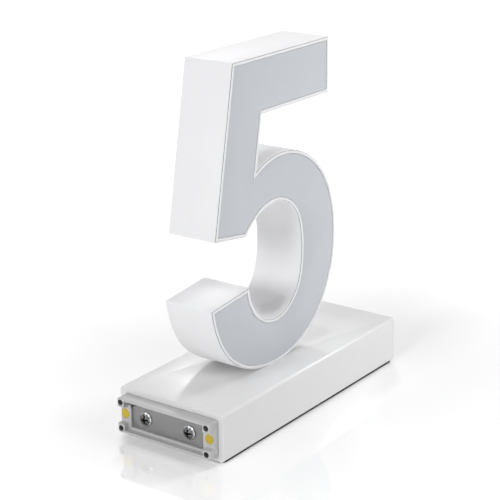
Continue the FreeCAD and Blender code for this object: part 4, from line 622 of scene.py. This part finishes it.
EDGE_WIDTHS = {
    "base_housing": 0.35 * MM,
    "plug_frame": 0.3 * MM,
    "socket_frame": 0.15 * MM,
    "underside_mat": 0.2 * MM,
    "figure_body": 0.08 * MM,
    "figure_cover": 0.1 * MM,
    "figure_face": 0.08 * MM,
}
LOOKS = {"plug_frame": "collar"}
for node, width in EDGE_WIDTHS.items():
    stand_for(softened(node, width), node, look=LOOKS.get(node))


# Screws and pins
ALONG = Euler((0.0, 0.0, 0.0))
BACK = Euler((0.0, 0.0, math.pi))
UP = Euler((0.0, -math.pi / 2, 0.0))
screws = screw_recipe()
pins = pin_recipe()

stand_for(screws.make(
    "plug_screws_finished",
    [(PLUG_HEAD_TOP, y, END_MIDDLE) for y in (END_SCREW_ASIDE, -END_SCREW_ASIDE)],
    Head_Radius=4.0 * MM, Head_Height=2.4 * MM, Crown_Radius=PLUG_HEAD_CROWN * MM, Taper=0.0,
    Shank_Radius=1.95 * MM, Shank_Length=12.0 * MM,
    Recess_Reach=6.7 * MM, Recess_Width=1.35 * MM, Recess_Depth=1.9 * MM,
    Turn=ALONG, Material=MATERIALS["cross_heads"],
), "plug_screws", look="cross_heads")
stand_for(screws.make(
    "socket_screws_finished",
    [(SOCKET_HEAD_TOP, y, END_MIDDLE) for y in (END_SCREW_ASIDE, -END_SCREW_ASIDE)],
    Head_Radius=3.8 * MM, Head_Height=1.85 * MM, Crown_Radius=60 * MM, Taper=1.0,
    Shank_Radius=1.95 * MM, Shank_Length=10.15 * MM,
    Recess_Reach=4.6 * MM, Recess_Width=1.2 * MM, Recess_Depth=1.5 * MM,
    Turn=BACK, Material=MATERIALS["steel"],
), "socket_screws")
stand_for(screws.make(
    "hatch_screws_finished", [(x, y, 1.5) for x in (-67.5, 57.5) for y in (-25.49, 25.49)],
    Head_Radius=2.2 * MM, Head_Height=1.0 * MM, Crown_Radius=60 * MM, Taper=1.0,
    Shank_Radius=1.2 * MM, Shank_Length=5.0 * MM,
    Recess_Reach=2.8 * MM, Recess_Width=0.75 * MM, Recess_Depth=0.9 * MM,
    Turn=UP, Material=MATERIALS["steel"],
), "hatch_screws")
stand_for(pins.make(
    "guide_pins_finished",
    [
        (PIN_TIP, y, z)
        for y in (-PIN_ASIDE, PIN_ASIDE)
        for z in (END_MIDDLE - PIN_ABOVE, END_MIDDLE + PIN_ABOVE)
    ],
    Radius=1.45 * MM, Length=10.5 * MM, Nose_Radius=2.2 * MM,
    Turn=BACK, Material=MATERIALS["steel"],
), "guide_pins")


# Small pieces that only the scene has
def painted_shade_wedge(front, thickness, corners):
    """A flat wedge with softened edges, put in as painted shade, from (Y, Z) corners; its sizes are
    in millimetres.
    """
    shape = bmesh.new()
    near, far = (
        [shape.verts.new(Vector((x, y, z)) * MM) for y, z in corners]
        for x in (front, front + thickness)
    )
    shape.faces.new(near)
    shape.faces.new(reversed(far))
    for this in range(len(corners)):
        after = (this + 1) % len(corners)
        shape.faces.new((near[this], far[this], far[after], near[after]))
    bmesh.ops.recalc_face_normals(shape, faces=shape.faces)
    bmesh.ops.bevel(
        shape, geom=shape.edges, offset=0.12 * MM, segments=2, affect="EDGES", profile=0.5,
    )
    mesh = bpy.data.meshes.new("painted_shade_wedge")
    shape.to_mesh(mesh)
    shape.free()
    return place_mesh("painted_shade_wedge", mesh)


def front_loop(node):
    """The widest loop of edges round a node's front rim, as points in order."""
    shape = bmesh.new()
    shape.from_mesh(frame["nodes"][node].data)
    bmesh.ops.remove_doubles(shape, verts=shape.verts, dist=MERGE_DISTANCE)
    front = min(vertex.co.y for vertex in shape.verts)
    rim = {f for f in shape.faces if all(abs(v.co.y - front) < MERGE_DISTANCE for v in f.verts)}
    beside = {}
    for edge in shape.edges:
        if sum(face in rim for face in edge.link_faces) == 1:
            for vertex in edge.verts:
                beside.setdefault(vertex, []).append(edge.other_vert(vertex))
    loops = []
    while beside:
        vertex = next(iter(beside))
        loop = []
        while vertex is not None:
            loop.append(vertex.co.copy())
            onward = beside.pop(vertex)
            vertex = next((other for other in onward if other in beside), None)
        loops.append(loop)
    shape.free()
    return max(loops, key=lambda loop: max(p.x for p in loop) - min(p.x for p in loop))


# The dark mark in the plug's upper rear corner: a black wedge put there as painted shade
add_to(painted_shade_wedge(
    front=-88.3, thickness=1.3, corners=[(23.95, 20.95), (23.95, 18.3), (20.2, 20.95)],
), "lamp", "rubber")

# The fine grey line round the rim of the figure's cover: a silicone seal in the groove, whose dark
# grey is partly painted shade of the groove
add_to(bead_recipe().make(
    "figure_seal_and_shade_bead", [point / MM for point in front_loop("figure_cover")], closed=True,
    Bead_Radius=0.17 * MM, Lift=0.38 * MM, Material=MATERIALS["silicone"],
), "lamp", "silicone")

# The dark line under the bar's edge: a black rubber lip on the mat, which also fills the gap with
# painted shade
add_to(skirt_recipe().make(
    "underside_mat_shade_lip", [],
    Length=(BAR_LENGTH - LIP_INSET - LIP_WIDTH) * MM,
    Depth=(BAR_DEPTH - LIP_INSET - LIP_WIDTH) * MM,
    Corner_Radius=1.2 * MM,
    Lip_Width=LIP_WIDTH * MM, Lip_Height=0.6 * MM, Material=MATERIALS["rubber"],
), "lamp", "rubber")


# Camera
def add_camera():
    data = bpy.data.cameras.new("photo_camera")
    data.lens = LENS
    data.sensor_width = SENSOR
    data.clip_start = 0.05
    data.clip_end = 20
    camera = bpy.data.objects.new("photo_camera", data)
    scene.collection.objects.link(camera)
    azimuth = math.radians(CAMERA_AZIMUTH)
    elevation = math.radians(CAMERA_ELEVATION)
    back = Vector((
        math.sin(azimuth) * math.cos(elevation),
        -math.cos(azimuth) * math.cos(elevation),
        math.sin(elevation),
    ))
    camera.location = CAMERA_PLACE
    camera.rotation_mode = "QUATERNION"
    level = (-back).to_track_quat("-Z", "Y").to_matrix()
    roll = Matrix.Rotation(math.radians(CAMERA_ROLL), 3, back)
    camera.rotation_quaternion = (roll @ level).to_quaternion()
    scene.camera = camera


add_camera()


# Light: an even glow all round, a broad lamp from the left and smaller ones that fill in
AIM = Vector((0.0, 0.0, 0.08))
LAMPS = {  # place, width and power
    "left": ((-2.3, -0.2, 0.9), 0.6, 18.0),
    "left_back": ((-1.8, 1.0, 0.5), 0.4, 5.0),
    "high": ((-0.9, 0.2, 1.45), 0.25, 2.6),
    "top": ((0.1, 0.0, 1.8), 0.25, 3.1),
    "back_right": ((1.25, 1.0, 1.4), 0.3, 7.6),
    "front": ((0.1, -1.4, 0.6), 0.5, 5.6),
    "right": ((0.9, -0.37, 0.64), 0.3, 4.6),
}
for name, (place, width, power) in LAMPS.items():
    lamp = bpy.data.lights.new(name, "AREA")
    lamp.shape = "DISK"
    lamp.size = width
    lamp.energy = power
    light = bpy.data.objects.new(name, lamp)
    scene.collection.objects.link(light)
    light.location = place
    light.rotation_mode = "QUATERNION"
    light.rotation_quaternion = (AIM - Vector(place)).to_track_quat("-Z", "Y")


def add_world(strength):
    """Even light all round, which the camera and mirrors see as white."""
    world = bpy.data.worlds.new("studio")
    scene.world = world
    world.use_nodes = True
    tree = world.node_tree
    tree.nodes.clear()
    output = tree.nodes.new("ShaderNodeOutputWorld")
    mix = tree.nodes.new("ShaderNodeMixShader")
    tree.links.new(seen_or_mirrored(tree), mix.inputs["Fac"])
    for socket, brightness in zip((mix.inputs[1], mix.inputs[2]), (strength, 1.0)):
        ground = tree.nodes.new("ShaderNodeBackground")
        ground.inputs["Color"].default_value = (1.0, 1.0, 1.0, 1.0)
        ground.inputs["Strength"].default_value = brightness
        tree.links.new(ground.outputs[0], socket)
    tree.links.new(mix.outputs[0], output.inputs["Surface"])


add_world(strength=0.23)


# Floor
def add_floor(size, white, centre, near, far, lift, far_lift):
    """A polished white floor, seen whiter and whiter from near to far round a centre."""
    shape = bmesh.new()
    bmesh.ops.create_grid(shape, x_segments=1, y_segments=1, size=size / 2)
    mesh = bpy.data.meshes.new("floor")
    shape.to_mesh(mesh)
    shape.free()
    floor = place_mesh("floor", mesh)
    finish = Finish("polished_floor")
    finish.colour(finish.noise(0.2), (white - 0.005,) * 3, (white,) * 3)
    finish.gloss(finish.noise(0.05), 0.003, 0.01)
    away = finish.add("ShaderNodeVectorMath", operation="DISTANCE")
    away.inputs[1].default_value = centre
    finish.join(finish.place, away.inputs[0])
    rise = finish.spread(
        away.outputs["Value"], near, far, lift, far_lift, interpolation_type="SMOOTHSTEP",
    )
    glow = finish.work_out("MULTIPLY", seen_or_mirrored(finish.tree), rise)
    finish.set(IOR=2.1, Emission_Color=(1.0, 1.0, 1.0, 1.0))
    finish.join(glow, finish.shader.inputs["Emission Strength"])
    mesh.materials.append(finish.material)


add_floor(
    size=12.0, white=0.88, centre=(0.07, 0.0, 0.0), near=0.05, far=0.36, lift=0.055, far_lift=0.5,
)

scene.view_settings.view_transform = "Standard"
